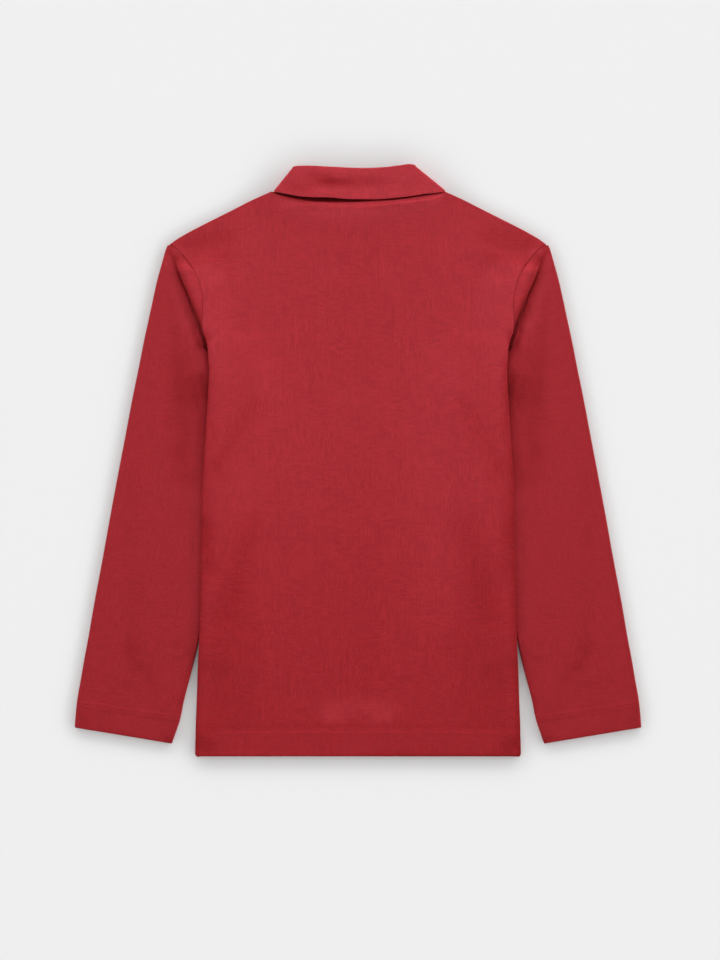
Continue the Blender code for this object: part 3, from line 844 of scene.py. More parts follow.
@dataclass(frozen=True)
class Stitching:
    """Twin-needle topstitching.

    Attributes:
        length: Length of one stitch.
        pitch: From the start of one to the start of the next.
        first: Where the first one starts.
        thread: Thickness of the thread.
        proud: Height of its middle over the cloth.
        sides: Number of sides that the thread is made with.
        stations: Share of the length, share of proud and share of the thickness, along a stitch.
    """

    length: float = 2.35
    pitch: float = 2.9
    first: float = 0.2
    thread: float = 0.34
    proud: float = 0.05
    sides: int = 6
    stations: tuple[tuple[float, float, float], ...] = (
        (0.0, -0.30, 0.75), (0.14, 0.45, 1.0), (0.5, 1.0, 1.0), (0.86, 0.45, 1.0),
        (1.0, -0.30, 0.75))  # fmt: skip

    def one(self, start: Array, end: Array, normal: Array) -> tuple[Array, list[tuple[int, ...]], Array]:
        """One stitch: a short thread that comes out of the cloth and goes back in.

        Args:
            start: Where it comes out.
            end: Where it goes in.
            normal: The way that the cloth looks.

        Returns:
            Its points, its faces, and each point's place along and round the thread.
        """
        way = (end - start) / np.linalg.norm(end - start)
        side = np.cross(normal, way)
        points, flat = [], []
        for share, rise, size in self.stations:
            centre = start + (end - start) * share + normal * (self.proud * rise)
            for step in range(self.sides):
                angle = 2.0 * math.pi * step / self.sides
                reach = self.thread / 2.0 * size
                points.append(centre + side * (math.cos(angle) * reach) + normal * (math.sin(angle) * reach))
                flat.append((share * self.length, angle * self.thread / 2.0))
        faces: list[tuple[int, ...]] = []
        for ring in range(len(self.stations) - 1):
            for step in range(self.sides):
                here = ring * self.sides + step
                after = ring * self.sides + (step + 1) % self.sides
                faces.append((here, after, after + self.sides, here + self.sides))
        last = (len(self.stations) - 1) * self.sides
        faces.append(tuple(range(self.sides))[::-1])
        faces.append(tuple(range(last, last + self.sides)))
        return np.array(points), faces, np.array(flat)

    def sew(self, name: str, lines: list[StitchLine], finish: bpy.types.Material) -> bpy.types.Object:
        """Sews several rows as one piece.

        Args:
            name: Name of the piece.
            lines: The rows.
            finish: The thread's material.

        Returns:
            The piece, riding on the body.
        """
        points, faces, flat, count = [], [], [], 0
        for line in lines:
            steps = np.linalg.norm(np.diff(line.points, axis=0), axis=1)
            run = np.concatenate([[0.0], np.cumsum(steps)])
            for number in range(int((run[-1] - self.length) / self.pitch) + 1):
                start = self.first + number * self.pitch
                ends = [start, start + self.length]
                at = np.stack([np.interp(ends, run, line.points[:, k]) for k in range(3)], axis=1)
                look = np.array([np.interp(ends[0], run, line.normals[:, k]) for k in range(3)])
                look /= np.linalg.norm(look)
                made, squares, place = self.one(at[0], at[1], look)
                points.append(made)
                flat.append(place + (number * self.pitch, 0.0))
                faces += [tuple(corner + count for corner in square) for square in squares]
                count += len(made)
        mesh = bpy.data.meshes.new(name)
        mesh.from_pydata((np.concatenate(points) * METRES).tolist(), [], faces)
        corners = np.empty(len(mesh.loops), np.int32)
        mesh.loops.foreach_get("vertex_index", corners)
        layer = mesh.uv_layers.new(name=CLOTH_MAP)
        place = np.concatenate(flat) * METRES
        layer.data.foreach_set("uv", place[corners].astype(np.float32).ravel())
        mesh.shade_smooth()
        mesh.materials.append(finish)
        piece = bpy.data.objects.new(name, mesh)
        bpy.context.scene.collection.objects.link(piece)
        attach(piece, ROOT)
        return piece


# Body panels


@dataclass
class BodyPanel:
    """The back or the front, one wall from side to side and from hem to shoulders.

    The light curves are read by place along the panel, and those of the neckline by place across:
    strip_light for the raised allowance, lip_light for its lower edge, below_light for the cloth
    below it.
    """

    face: Face
    outline: Outline
    layers: Layers
    marks: tuple[Mark, ...] = ()  # on both sides alike
    one_side_marks: tuple[Mark, ...] = ()
    stitch_along: tuple[float, float] = (-229.8, -233.5)
    stitch_end_dip: float = 4.8
    stitch_rows: tuple[float, float] = (-236.0, -226.0)  # rows of points are closest between these
    stitched_row: int = 40  # a row of points among them
    spacing: float = 2.1
    corner_radius: float = 2.8
    hem_top: float = -233.2  # above this the turned-up hem thins out
    hem_fade: float = 6.5
    hem_ridge: float = 0.06
    hem_dent: float = 0.10
    side_shade: float = 0.17  # along the side, below the arm
    side_difference: float = 0.05  # more on the right, less on the left
    side_reach: float = 4.0
    hem_shade: float = 0.24  # on the rounded rim of the hem
    rim_shade: float = 0.20  # on that of the sides
    rim_reach: float = 1.2
    gap_shade: float = 0.80  # under the collar's edge
    gap_margin: float = 0.85  # the gap's shade starts this far below the allowance's upper edge
    gap_over: float = 0.9
    lip_at: float = 0.4  # the allowance's lower edge is lightest this far above its foot
    lip_reach: float = 1.2
    below_reach: float = 11.0
    # Painted shade: the panel darker towards the hem and lighter towards the shoulders.
    light: Curve = Curve(((-251, 0.83), (-120, 0.9), (40, 1), (190, 1.02)))
    strip_light: Curve = Curve((
        (-70, -0.06), (-65, -0.1), (-58, -0.15), (-50, -0.08), (-40, 0.02), (-32, 0.12), (-24, 0.18),
        (-15, 0.26), (0, 0.28), (10, 0.38), (23, 0.42), (36, 0.29), (48, 0.23), (60, 0.25)))  # fmt: skip
    lip_light: Curve = Curve((
        (-70, 0.12), (-50, 0.26), (-40, 0.2), (-32, 0.12), (-15, 0), (25, 0), (36, 0.1), (48, 0.22),
        (60, 0.22), (70, 0.18)))  # fmt: skip
    below_light: Curve = Curve(((-70, 0.04), (-50, 0.11), (-20, 0.15), (0, 0.16), (20, 0.13), (60, 0.08)))
    grid: ClothGrid | None = field(default=None, repr=False)

    def edge_tables(self) -> tuple[Array, Array]:
        """Rows of the panel.

        Returns:
            How far along the side each row starts, and its distance from the hem's edge.
        """
        hem, tip = self.outline.hem, self.outline.body_tip
        plain = np.arange(self.stitch_rows[1] + 1.0, tip - 0.5 * self.spacing, self.spacing)
        edge_along = np.array([*hem_rows(hem, *self.stitch_rows), *plain, tip])
        return edge_along, edge_along - hem

    def wall_at(self, along: Array) -> Array:
        """Thickness of a layer: the hem is turned up and pressed."""
        share = soft((along - self.hem_top) / self.hem_fade)
        return self.layers.hem_wall + (self.layers.wall - self.layers.hem_wall) * share

    def near_neck(self, across: Array, along: Array, drop: Array | float) -> Array:
        """How near the neckline a place is.

        Args:
            across: Places across the panel.
            along: Places along it.
            drop: How far this panel's neckline hangs below the back one.

        Returns:
            1 beside the neckline, falling to 0 away from it.
        """
        beside = np.maximum(0.0, np.abs(across) - self.outline.neck_half)
        below = np.maximum(0.0, self.outline.neck_line(across) - drop - along)
        return soft(1.0 - np.hypot(beside, below) / self.layers.neck_reach)

    def height(self, across: Array, along: Array, edge_along: Array, wall: Array) -> Array:
        """Height of the middle of the panel, before its edges are rolled.

        Args:
            across: Places across the panel.
            along: Places along it.
            edge_along: Where the row of each place meets the side.
            wall: Thickness there.

        Returns:
            The height at each place.
        """
        lie, line = self.layers, self.outline
        top, foot = line.slope_top.at(edge_along), line.slope_foot.at(edge_along)
        reach = top - foot + (lie.back_reach if self.face is Face.BACK else 0.0)
        raised = lie.tuck_lift * lie.lift.at(edge_along)
        raised = raised * soft((np.abs(across) - top + reach) / reach)
        if self.face is Face.FRONT:
            near = self.near_neck(across, along, line.front_drop(across))
            return wall / 2.0 + raised + lie.neck_rise * near
        near = self.near_neck(across, along, 0.0)
        height = wall * 1.5 + lie.space + raised + (lie.neck_rise + lie.neck_bump) * near
        side = lie.tuck_lift + lie.wall * 1.5 + lie.space
        armhole = side + (lie.cap_height(edge_along) - side) * soft((edge_along - line.armpit_top) / 8.0)
        share = soft((np.abs(across) - foot) / (line.body_edge.at(edge_along) - foot)) * (1.0 - near)
        share = share * soft((edge_along - line.armpit) / (line.armpit_top - line.armpit))
        return height + (armhole - height) * share

    def columns(self, edge_along: Array, wall: Array) -> tuple[Array, Array, Array]:
        """Places of each row's points across the panel.

        Args:
            edge_along: Where each row meets the side.
            wall: Thickness of each row.

        Returns:
            Half widths from the centre to the edge, drops, and distances from the edge, by row.
        """
        lie, line = self.layers, self.outline
        radius = (lie.wall + lie.space - lie.seam_gap) / 2.0
        angle = (lie.roll.at(edge_along) * math.pi / 2.0)[:, None]
        corner = np.clip(self.corner_radius - (edge_along - line.hem), 0.0, None)
        cut = self.corner_radius - np.sqrt(self.corner_radius**2 - corner**2)
        edge = (line.body_edge.at(edge_along) - wall / 2.0 * np.sin(angle[:, 0]) - cut)[:, None]
        steps = np.array(EDGE_STEPS[::-1])[None, :]
        inset, drop = rolled(steps, angle, radius)
        top_inner = line.shoulder_tip - EDGE_STEPS[-1]
        neck = line.neck_half / top_inner
        inner = np.linspace(0.0, neck, int(line.neck_half / self.spacing) + 1)
        outer = np.linspace(neck, 1.0, int((top_inner - line.neck_half) / self.spacing) + 1)[1:-1]
        share = np.concatenate([inner, outer])[None, :]
        flat = share * (edge - inset[:, :1])
        half = np.concatenate([flat, edge - inset], axis=1)
        drops = np.concatenate([np.zeros_like(flat), drop], axis=1)
        far = np.concatenate([edge - flat, np.broadcast_to(steps, inset.shape)], axis=1)
        return half, drops, far

    def mirrored(self, half: Array) -> Array:
        """A row's values from the left edge to the right edge, without a sign."""
        return np.concatenate([half[:, :0:-1], half], axis=1)

    def shape(self) -> ClothGrid:
        """Places every point of the panel.

        Returns:
            The panel as a grid.
        """
        lie, line, face = self.layers, self.outline, self.face
        edge_along, from_hem = self.edge_tables()
        wall = self.wall_at(edge_along)
        half, drop, far = self.columns(edge_along, wall)
        top_half = self.columns(np.array([line.shoulder_tip_along]), np.array([lie.wall]))[0][0]
        sign = np.concatenate([-np.ones(half.shape[1] - 1), np.ones(half.shape[1])])
        across = self.mirrored(half) * sign
        top_across = self.mirrored(top_half[None, :])[0] * sign
        drop, far = self.mirrored(drop), self.mirrored(far)
        share = np.clip((edge_along - line.armpit_top) / (line.body_tip - line.armpit_top), 0.0, 1.0)[:, None]
        reach = (line.base_along(top_across, face) - line.armpit_top)[None, :]
        along = np.where(share > 0.0, line.armpit_top + share * reach, edge_along[:, None])
        rows = edge_along[:, None] + np.zeros_like(across)
        walls = wall[:, None] + np.zeros_like(across)
        height = self.height(across, along, rows, walls) - face.value * drop
        edge = np.minimum(far, from_hem[:, None])

        upper = self.shoulder_rows(across[-1], top_across)
        across = np.concatenate([across, upper[0]])
        along = np.concatenate([along, upper[1]])
        height = np.concatenate([height, upper[2]])
        edge = np.concatenate([edge, np.minimum(upper[3], far[-1][None, :])])
        walls = np.concatenate([walls, np.full(upper[0].shape, lie.wall)])

        rise, tone = marked(self.marks, np.abs(across), along)
        tone = tone + marked(self.one_side_marks, across, along)[1]
        fade = soft(edge / 6.0)
        rows_off = (along - self.stitch_at(across, number) for number in (0, 1))
        relief = twin_relief(*rows_off, self.hem_ridge, self.hem_dent)
        height = height + rise * fade + face.value * relief
        # Painted light and shade: darker towards the hem and along the edges, the painted highlight and
        # shadow of the neckline on the back, and the marks' painted light and shade.
        light = self.light.at(along) * self.edge_light(across, along, edge)
        if face is Face.BACK:
            light = light * self.neck_light(across, along)
        middle = np.stack([across, along, height], axis=-1)
        grain = np.stack([across, along], axis=-1)
        self.grid = ClothGrid(middle, walls, edge, grain, light * (1.0 + tone))
        return self.grid

    def edge_light(self, across: Array, along: Array, edge: Array) -> Array:
        """How much of its light the cloth keeps along its sides, its hem and the armholes.

        Args:
            across: Places across the panel.
            along: Places along it.
            edge: Distance of each from the free edge.

        Returns:
            The share that is left at each.
        """
        armpit = self.outline.armpit
        side = self.side_shade + self.side_difference * np.sign(across)
        side = side * bell(edge, self.side_reach) * soft((armpit - along) / 20.0)
        armhole = soft((along - armpit) / 8.0) * soft((np.abs(across) - 125.0) / 3.0)
        free = self.hem_shade + (self.rim_shade - self.hem_shade) * soft((along + 230.0) / 20.0)
        rim = free * (1.0 - armhole) + self.layers.sewn.at(along) * armhole
        return (1.0 - side) * (1.0 - rim * bell(edge, self.rim_reach))

    def neck_light(self, across: Array, along: Array) -> Array:
        """Painted light on the raised seam allowance, and painted shadow in the gap between it and the band.

        Args:
            across: Places across the panel.
            along: Places along it.

        Returns:
            The painted lightness at each place, 1 on the plain cloth.
        """
        line = self.outline
        inside = soft((line.neck_half - np.abs(across)) / 4.0)
        hidden = soft((along - line.allowance_top.at(across) + self.gap_margin) / self.gap_over)
        from_foot = along - line.allowance_foot.at(across)
        raised = self.strip_light.at(across) * soft(from_foot / 1.2 + 0.5)
        lip = self.lip_light.at(across) * bell(from_foot - self.lip_at, self.lip_reach)
        below = self.below_light.at(across) * bell(np.minimum(from_foot, 0.0), self.below_reach)
        return 1.0 + inside * ((raised + lip + below) * (1.0 - hidden) - self.gap_shade * hidden)

    def stitch_at(self, across: Array, number: int) -> Array:
        """How far along the garment a row of hem stitches runs; it dips at the sides."""
        return self.stitch_along[number] - self.stitch_end_dip * bell(138.0 - np.abs(across), 16.0)

    def shoulder_rows(self, base_across: Array, top_across: Array) -> tuple[Array, Array, Array, Array]:
        """Rows along the shoulders, rolled over, and along the neckline.

        Args:
            base_across: The last even row's places across.
            top_across: The last row's places across.

        Returns:
            Across, along, height and distance from the free edge, by row.
        """
        lie, line = self.layers, self.outline
        radius = (lie.wall + lie.space - lie.seam_gap) / 2.0
        steps = np.array([6.5, 5.2, *EDGE_STEPS[::-1]])
        inset, roll_drop = rolled(steps, np.full(steps.shape, math.pi / 2.0), radius)
        base = line.base_along(top_across, self.face)
        edge = line.shoulder.at(np.abs(top_across)) - lie.wall / 2.0 / math.cos(line.shoulder_lean)
        length = np.maximum(edge - base, 0.5)
        squeeze = np.minimum(1.0, 0.88 * length / inset[0])
        left = inset[:, None] * squeeze[None, :]
        share = 1.0 - left / length
        side_along = edge[None, :] - left
        side_across = base_across + (top_across - base_across) * share

        drop = line.front_drop(top_across) if self.face is Face.FRONT else np.zeros_like(top_across)
        seam = line.neck_line(top_across) - drop
        part = (np.arange(1, len(steps) + 1) / len(steps))[:, None]
        neck_along = base + (seam - base) * part
        beside = np.abs(top_across) >= line.neck_half - 0.01
        along = np.where(beside, side_along, neck_along)
        across = np.where(beside, side_across, base_across + (top_across - base_across) * part)
        far = np.where(beside, steps[:, None] + 0.0 * left, seam - neck_along)
        down = np.where(beside, roll_drop[:, None] + 0.0 * left, self.neck_relief(across, along, seam))
        row = np.full(across.shape, line.body_tip)
        height = self.height(across, along, row, np.full(across.shape, lie.wall))
        return across, along, height - self.face.value * down, far

    def neck_relief(self, across: Array, along: Array, seam: Array) -> Array:
        """The back's raised seam allowance below the collar, and its dip into the seam.

        Args:
            across: Places across the neck.
            along: Places along it.
            seam: Where the neckline seam runs.

        Returns:
            How far each place is below the plain panel.
        """
        if self.face is Face.FRONT:
            return np.zeros_like(along)
        lie, line = self.layers, self.outline
        foot, lower = line.allowance_foot.at(across), line.allowance_top.at(across)
        strip = lie.strip_raise * soft((along - foot) / 2.4 + 0.5)
        dip = (lie.strip_raise + lie.neck_dip) * soft((along - lower) / np.maximum(seam - lower, 0.2))
        return dip - strip

    def stitches(self) -> list[StitchLine]:
        """The hem's rows of stitches, on the face that shows.

        Returns:
            The rows.
        """
        grid = self.grid
        count = grid.wall.shape[1]
        columns = np.linspace(3.0, count - 4.0, 600)
        across = np.interp(columns, np.arange(count), grid.middle[self.stitched_row, :, 0])
        row_along = grid.middle[:, count // 2, 1]
        up = self.face.value * int(np.sign(grid.normal()[self.stitched_row, count // 2, 2]))
        lines = []
        for number in (0, 1):
            rows = np.interp(self.stitch_at(across, number), row_along, np.arange(len(row_along)))
            lines.append(StitchLine(*grid.surface(rows, columns, up)))
        return lines


# Sleeves


@dataclass
class Sleeve:
    """A sleeve: one wall folded flat, open along the seam under the arm and at both ends.

    Heights along a sleeve are those of its outer edge, unless they are said to be of the inner one.
    """

    side: Side
    outline: Outline
    layers: Layers
    marks: tuple[Mark, ...] = ()
    cuff_along: float = -227.2
    stitch_along: tuple[float, float] = (-207.0, -210.5)
    stitch_rows: tuple[float, float] = (-213.0, -203.0)  # rows of points are closest between these
    hem_top: float = -206.2  # above this the turned-up cuff thins out
    hem_fade: float = 2.4
    hem_ridge: float = 0.08
    hem_dent: float = 0.16
    top_along: float = 183.1
    sewn_gap: float = 0.08  # from the body's edge to the sleeve's, seen from above
    tuck: float = 0.9  # the sleeve goes under the body by this much at the armpit
    tuck_at: float = 101.5
    tuck_reach: float = 4.5
    shade_share: float = 1.0  # of the shade on the outer side of the armhole's fold
    fold_shade: float = 0.0  # along the outer fold
    fold_reach: float = 1.8
    rim_shade: float = 0.20  # along the seam under the arm and the cuff
    rim_reach: float = 1.2
    spacing: float = 2.3
    armhole_spacing: float = 1.2
    # Painted shade: the sleeve darker than the panels and darker towards the cuff.
    light: Curve = Curve(((-240, 0.79), (-120, 0.85), (-30, 0.89), (180, 0.94)))
    grid: ClothGrid | None = field(default=None, repr=False)
    upper_from: int = 0

    def row_places(self) -> Array:
        """Spreads the rows along the outer edge.

        Returns:
            Where each starts.
        """
        plain = np.arange(self.stitch_rows[1] + 1.0, 96.0, self.spacing)
        armhole = np.arange(96.5, self.top_along, self.armhole_spacing)
        return np.array([*hem_rows(self.cuff_along, *self.stitch_rows), *plain, *armhole, self.top_along])

    def wall_at(self, along: float) -> float:
        """Thickness of a layer: the cuff's hem is turned up and pressed."""
        share = float(soft((along - self.hem_top) / self.hem_fade))
        return self.layers.cuff_wall + (self.layers.wall - self.layers.cuff_wall) * share

    def pleat(self, along: float, width: float) -> list[tuple[float, float]]:
        """The doubling back of the cloth: turned up and back, then forward again.

        Args:
            along: Where the section is.
            width: Its width.

        Returns:
            Distance from the outer edge and height of each point, over the flat upper layer.
        """
        lie, line = self.layers, self.outline
        turn = math.radians(float(lie.pleat_turn.at(along)))
        length = float(lie.pleat_back.at(along)) + 0.3
        outer = float(line.sleeve_outer.at(along))
        spread = min(8.0, 0.3 * width) * (1.0 - turn / math.pi)
        bend = np.linspace(0.0, 1.0, 8)
        sine, cosine = math.sin(turn), math.cos(turn)
        points = []
        for heading in turn * bend:
            points.append((lie.fold_turn * math.sin(heading), lie.fold_turn * (1.0 - math.cos(heading))))
        start, rise = points[-1]
        points += [(start + t * length * cosine, rise + t * length * sine) for t in (0.33, 0.67)]
        across, height = start + length * cosine, rise + length * sine
        for heading in turn * (1.0 - bend):
            onward, up = sine - math.sin(heading), math.cos(heading) - cosine
            points.append((across + lie.fold_turn * onward, height + lie.fold_turn * up))
        last = len(points) - 1
        points = [(s + spread * n / last, z) for n, (s, z) in enumerate(points)]
        nearest = min(s for s, _ in points[len(bend):])
        begin = outer - float(lie.pleat_edge.at(along)) + lie.wall / 2.0 - nearest
        begin = min(begin, width - 1.4 - points[-1][0])
        begin = 0.6 * width + (begin - 0.6 * width) * float(soft((along - 40.0) / (line.armpit - 40.0)))
        return [(begin + s, z) for s, z in points]

    def section(self, along: float, width: float, wall: float) -> tuple[Array, Array, int]:
        """One section across the folded sleeve.

        Args:
            along: Where it is, along the inner edge.
            width: From the outer fold to the inner edge.
            wall: Thickness of one layer.

        Returns:
            Distance from the outer edge and height of each point, its distance from the seam, and
            the number of the first point of the upper layer.
        """
        lie = self.layers
        lower, upper = (float(level) for level in lie.sleeve_levels(wall))
        angle = float(lie.roll.at(along)) * math.pi / 2.0
        seam_radius = (upper - lower - lie.seam_gap) / 2.0
        inner = width - wall / 2.0 * math.sin(angle)
        steps = np.array(EDGE_STEPS) * min(1.0, 0.5 * width / 6.0)
        inset, drop = rolled(steps, np.full(steps.shape, angle), seam_radius)
        points = [(inner - i, lower + d) for i, d in zip(inset, drop)]
        fold_radius = (upper - lower) / 2.0
        fold = []
        for turn in np.linspace(0.0, math.pi, 11):
            side = fold_radius * (1.0 - math.sin(turn)) + wall / 2.0
            fold.append((side, (upper + lower) / 2.0 - fold_radius * math.cos(turn)))
        start = points[-1][0]
        flat = np.linspace(0.0, 1.0, 26)[1:-1]
        points += [(start + (fold[0][0] - start) * t, lower) for t in flat]
        points += fold
        first_upper = len(points)
        path = self.pleat(along, width)
        flat = np.linspace(0.0, 1.0, 20)[1:-1]
        points += [(fold[-1][0] + (path[0][0] - fold[-1][0]) * t, upper) for t in flat]
        points += [(s, upper + z) for s, z in path]
        height = points[-1][1]
        ends = [(inner - i, height - d) for i, d in zip(inset[::-1], drop[::-1])]
        flat = np.linspace(0.0, 1.0, 14)[1:-1]
        last = points[-1][0]
        points += [(last + (ends[0][0] - last) * t, height) for t in flat]
        points += ends
        made = np.array(points)
        run = np.concatenate([[0.0], np.cumsum(np.linalg.norm(np.diff(made, axis=0), axis=1))])
        return made, run, first_upper

    def shape(self) -> ClothGrid:
        """Places every point of the sleeve.

        Returns:
            The sleeve as a grid.
        """
        line, lie = self.outline, self.layers
        middle, walls, edges, grain, upper, from_outer = [], [], [], [], [], []
        for row in self.row_places():
            inner_along = float(line.sleeve_slant.at(row))
            if inner_along <= line.armpit:
                inner_half = float(line.sleeve_inner.at(inner_along))
            else:
                tucked = self.tuck * float(bell(inner_along - self.tuck_at, self.tuck_reach))
                inner_half = float(line.body_edge.at(inner_along)) + self.sewn_gap - tucked
            outer = np.array((float(line.sleeve_outer.at(row)), row))
            inner = np.array((inner_half, inner_along))
            width = float(np.linalg.norm(inner - outer))
            way = (inner - outer) / width
            wall = self.wall_at(row)
            section, run, self.upper_from = self.section(inner_along, width, wall)
            places = outer + section[:, :1] * way
            middle.append(np.column_stack([places, section[:, 1]]))
            walls.append(np.full(len(run), wall))
            from_outer.append(section[:, 0])
            seam = np.minimum(run, run[-1] - run)
            edges.append(np.minimum(seam, min(row - self.cuff_along, self.top_along - row + 0.3)))
            from_fold = run - run[self.upper_from - 6]
            grain.append(np.column_stack([from_fold, np.full(len(run), row)]))
            upper.append(np.arange(len(run)) >= self.upper_from)
        points, is_upper = np.array(middle), np.array(upper)
        across, along = points[..., 0], points[..., 1]
        rise, tone = marked(self.marks, across, along)
        edge = np.array(edges)
        tops = is_upper * soft((points[..., 2] - 1.5) / 0.8)
        rows_off = (np.array(grain)[..., 1] - place for place in self.stitch_along)
        relief = twin_relief(*rows_off, self.hem_ridge, self.hem_dent)
        points[..., 2] += rise * tops * soft(edge / 6.0) + np.where(is_upper, relief, -relief)
        # Painted light and shade: the curve above, painted shade beside the armhole's fold, along the seams
        # and cuff and along the outer fold, and the marks' painted light and shade.
        light = self.light.at(along) * np.where(is_upper, (1.0 + tone) * self.fold_light(across, along), 1.0)
        rim = np.where(along < line.armpit, self.rim_shade, lie.sewn.at(along))
        outer_fold = self.fold_shade * bell(np.array(from_outer), self.fold_reach)
        light = light * (1.0 - rim * bell(edge, self.rim_reach)) * (1.0 - outer_fold)
        points[..., 0] *= self.side.value
        self.grid = ClothGrid(points, np.array(walls), edge, np.array(grain), light)
        return self.grid

    def fold_light(self, across: Array, along: Array) -> Array:
        """How much of its light the cloth keeps beside the deep fold along the armhole.

        Args:
            across: Places across the garment.
            along: Places along it.

        Returns:
            The share that is left at each.
        """
        lie = self.layers
        fold_start = lie.fold_line.points[0][0]
        crease = np.where(along < fold_start, self.outline.body_edge.at(along), lie.fold_line.at(along))
        off = 0.92 * (across - crease)  # the fold slants, so this is nearer the distance from it
        wide = np.interp(along, (90.0, 115.0, 148.0, 160.0), (0.24, 0.04, 0.04, 0.20)) * self.shade_share
        inner = 0.26 * bell(off, 4.0)
        outer = wide * bell(off, 4.6) + (0.26 - wide) * bell(off, 1.0)
        shade = 0.40 * bell(off, 1.5) + np.where(off > 0.0, outer, inner)
        return 1.0 - lie.fold_painted_shade.at(along) * shade

    def stitches(self) -> list[StitchLine]:
        """The cuff's rows of stitches, on both layers.

        Returns:
            The rows.
        """
        grid = self.grid
        columns = grid.wall.shape[1]
        upper = np.linspace(self.upper_from - 4.0, columns - 4.0, 300)
        lower = np.linspace(self.upper_from - 8.0, 3.0, 300)
        up = int(np.sign(grid.normal()[40, self.upper_from + 6, 2]))
        lines = []
        for place in self.stitch_along:
            row = float(np.interp(place, grid.grain[:, 0, 1], np.arange(len(grid.grain))))
            for columns_there in (upper, lower):
                lines.append(StitchLine(*grid.surface(np.full(300, row), columns_there, up)))
        return lines


# Neck band


@dataclass
class Collar:
    """The neck band: a closed ring, folded double and turned down on itself."""

    outline: Outline
    layers: Layers
    centre: float = 3.9  # height halfway between its front and back
    stand_half: float = 1.1  # from there to the standing layer
    turn: float = 1.0  # radius of the fold at its top, to the middle of the band
    flare: float = 1.2  # the turned-down layer's lower edge stands out by this much more
    trough: float = 0.5  # soft hollow along the turned-down layer
    shift: float = 0.3  # the lower edge lies this much to the right
    seam_inset: tuple[float, float] = (6.2, 5.2)  # its seam starts this far inside the neckline's ends
    top_shift: tuple[float, float] = (-1.5, -0.7)  # its upper corners lie this much to the left
    lean: float = 1.7  # at the top the inner layers come in by this times their depth
    seam_margin: float = 0.4  # between the seam and the standing layer, on top of the seam's gap
    end_drop: float = 0.7  # rounding of the lower edge at its ends
    marks: tuple[Mark, ...] = ()
    hang: Curve = Curve((
        (-72, 0.8), (-66, 0.3), (-56, 0.2), (-49, 0.5), (-40, 0.5), (-32, 0.35), (-24, 0.3), (-14, 0.75),
        (0, 0.95), (12, 1), (23, 0.85), (35, 1.1), (48, 1.25), (57, 1.05), (65, 1.3), (71, 1),
        (74, 1)))  # fmt: skip
    stations: int = 76
    end_points: int = 7
    # Painted light: the whole band lighter than the panels.
    light: float = 1.13
    fold_shade: float = 0.14  # along its upper edge
    fold_reach: float = 1.4
    grid: ClothGrid | None = field(default=None, repr=False)

    def levels(self) -> list[tuple[float, float, float, bool, float]]:
        """Rows of the band from its seam up to the fold and down to its lower edge.

        Returns:
            For each: its share of the way up, its distance from the middle of the neck, its
            height over the fold's start, whether it is turned down, and how far it stands out.
        """
        rows = [(share, self.stand_half, 0.0, False, 0.0) for share in np.linspace(0.0, 1.0, 9)[:-1]]
        for angle in np.linspace(0.0, math.pi, 11):
            half = self.stand_half + self.turn * (1.0 - math.cos(angle))
            rows.append((1.0, half, self.turn * math.sin(angle), angle > math.pi / 2.0, 0.0))
        fall = [*np.linspace(0.95, 0.10, 18), 0.06, 0.035, 0.018, 0.006, 0.0]
        outer = self.stand_half + 2.0 * self.turn
        rows += [(share, outer, 0.0, True, self.flare * (1.0 - share) ** 2) for share in fall]
        return rows

    def place(self, share: float, half: float, turned_down: bool, around: Array) -> tuple[Array, Array]:
        """Places on the band, seen from above.

        Args:
            share: Share of the way up the band.
            half: Distance from the middle of the neck.
            turned_down: Whether it is on the outer layer.
            around: Share of the way from the left end to the right one.

        Returns:
            Across and along of each.
        """
        line, lie = self.outline, self.layers
        lower, upper = line.collar_lower.points, line.collar_top.points
        inset = lie.band_wall / 2.0 + half / 2.0
        if turned_down:
            foot = (lower[0][0] + inset + self.shift, lower[-1][0] - inset + self.shift)
        else:
            foot = (self.seam_inset[0] - line.neck_half, line.neck_half - self.seam_inset[1])
        inside = inset + self.lean * max(0.0, self.stand_half + 2.0 * self.turn - half)
        top = (upper[0][0] + inside + self.top_shift[0], upper[-1][0] - inside + self.top_shift[1])
        low = foot[0] + (foot[1] - foot[0]) * around
        high = top[0] + (top[1] - top[0]) * around
        fall_edge = line.collar_lower.at(low) - self.hang.at(low)
        low_along = fall_edge if turned_down else line.neck_line(low) + lie.seam_gap + self.seam_margin
        high_along = line.collar_top.at(high) - lie.band_wall / 2.0 - self.turn
        return low + (high - low) * share, low_along + (high_along - low_along) * share

    def ring(self, share: float, half: float, rise: float, turned_down: bool, flare: float) -> Array:
        """One ring of middle points: across the back, round the end, across the front.

        Args:
            share: Share of the way up the band.
            half: Distance from the middle of the neck.
            rise: Height over the fold's start.
            turned_down: Whether it is on the outer layer.
            flare: How far the lower edge stands out.

        Returns:
            The points.
        """
        around = np.linspace(0.0, 1.0, self.stations)
        across, along = self.place(share, half, turned_down, around)
        hollow = np.zeros_like(around)
        if turned_down:
            middle = soft(around / 0.2) * soft((0.85 - around) / 0.3)
            hollow = self.trough * bell(share - 0.45, 0.2) * middle
            hollow = hollow - marked(self.marks, across, along)[0]
        flared = flare * soft(around * 5.0) * soft(5.0 - around * 5.0)
        back = np.column_stack([across, along + rise, self.centre + half - hollow + flared])
        drop = np.where((around > 0.0) & (around < 1.0), self.outline.front_drop(across), 0.0)
        drop = drop * soft(around * 9.0) * soft(9.0 - around * 9.0)
        front = np.column_stack([across, along + rise - drop, np.full(len(around), self.centre - half)])
        clear = self.end_drop * (1.0 - share)
        turn = np.linspace(math.pi / 2.0, -math.pi / 2.0, self.end_points + 2)[1:-1]
        bulge, level = np.cos(turn), self.centre + half * np.sin(turn)
        right = np.column_stack([across[-1] + half / 2.0 * bulge, along[-1] + rise + clear * bulge, level])
        left = np.column_stack([across[0] - half / 2.0 * bulge, along[0] + rise + clear * bulge, level])[::-1]
        return np.concatenate([back, right, front[::-1], left])

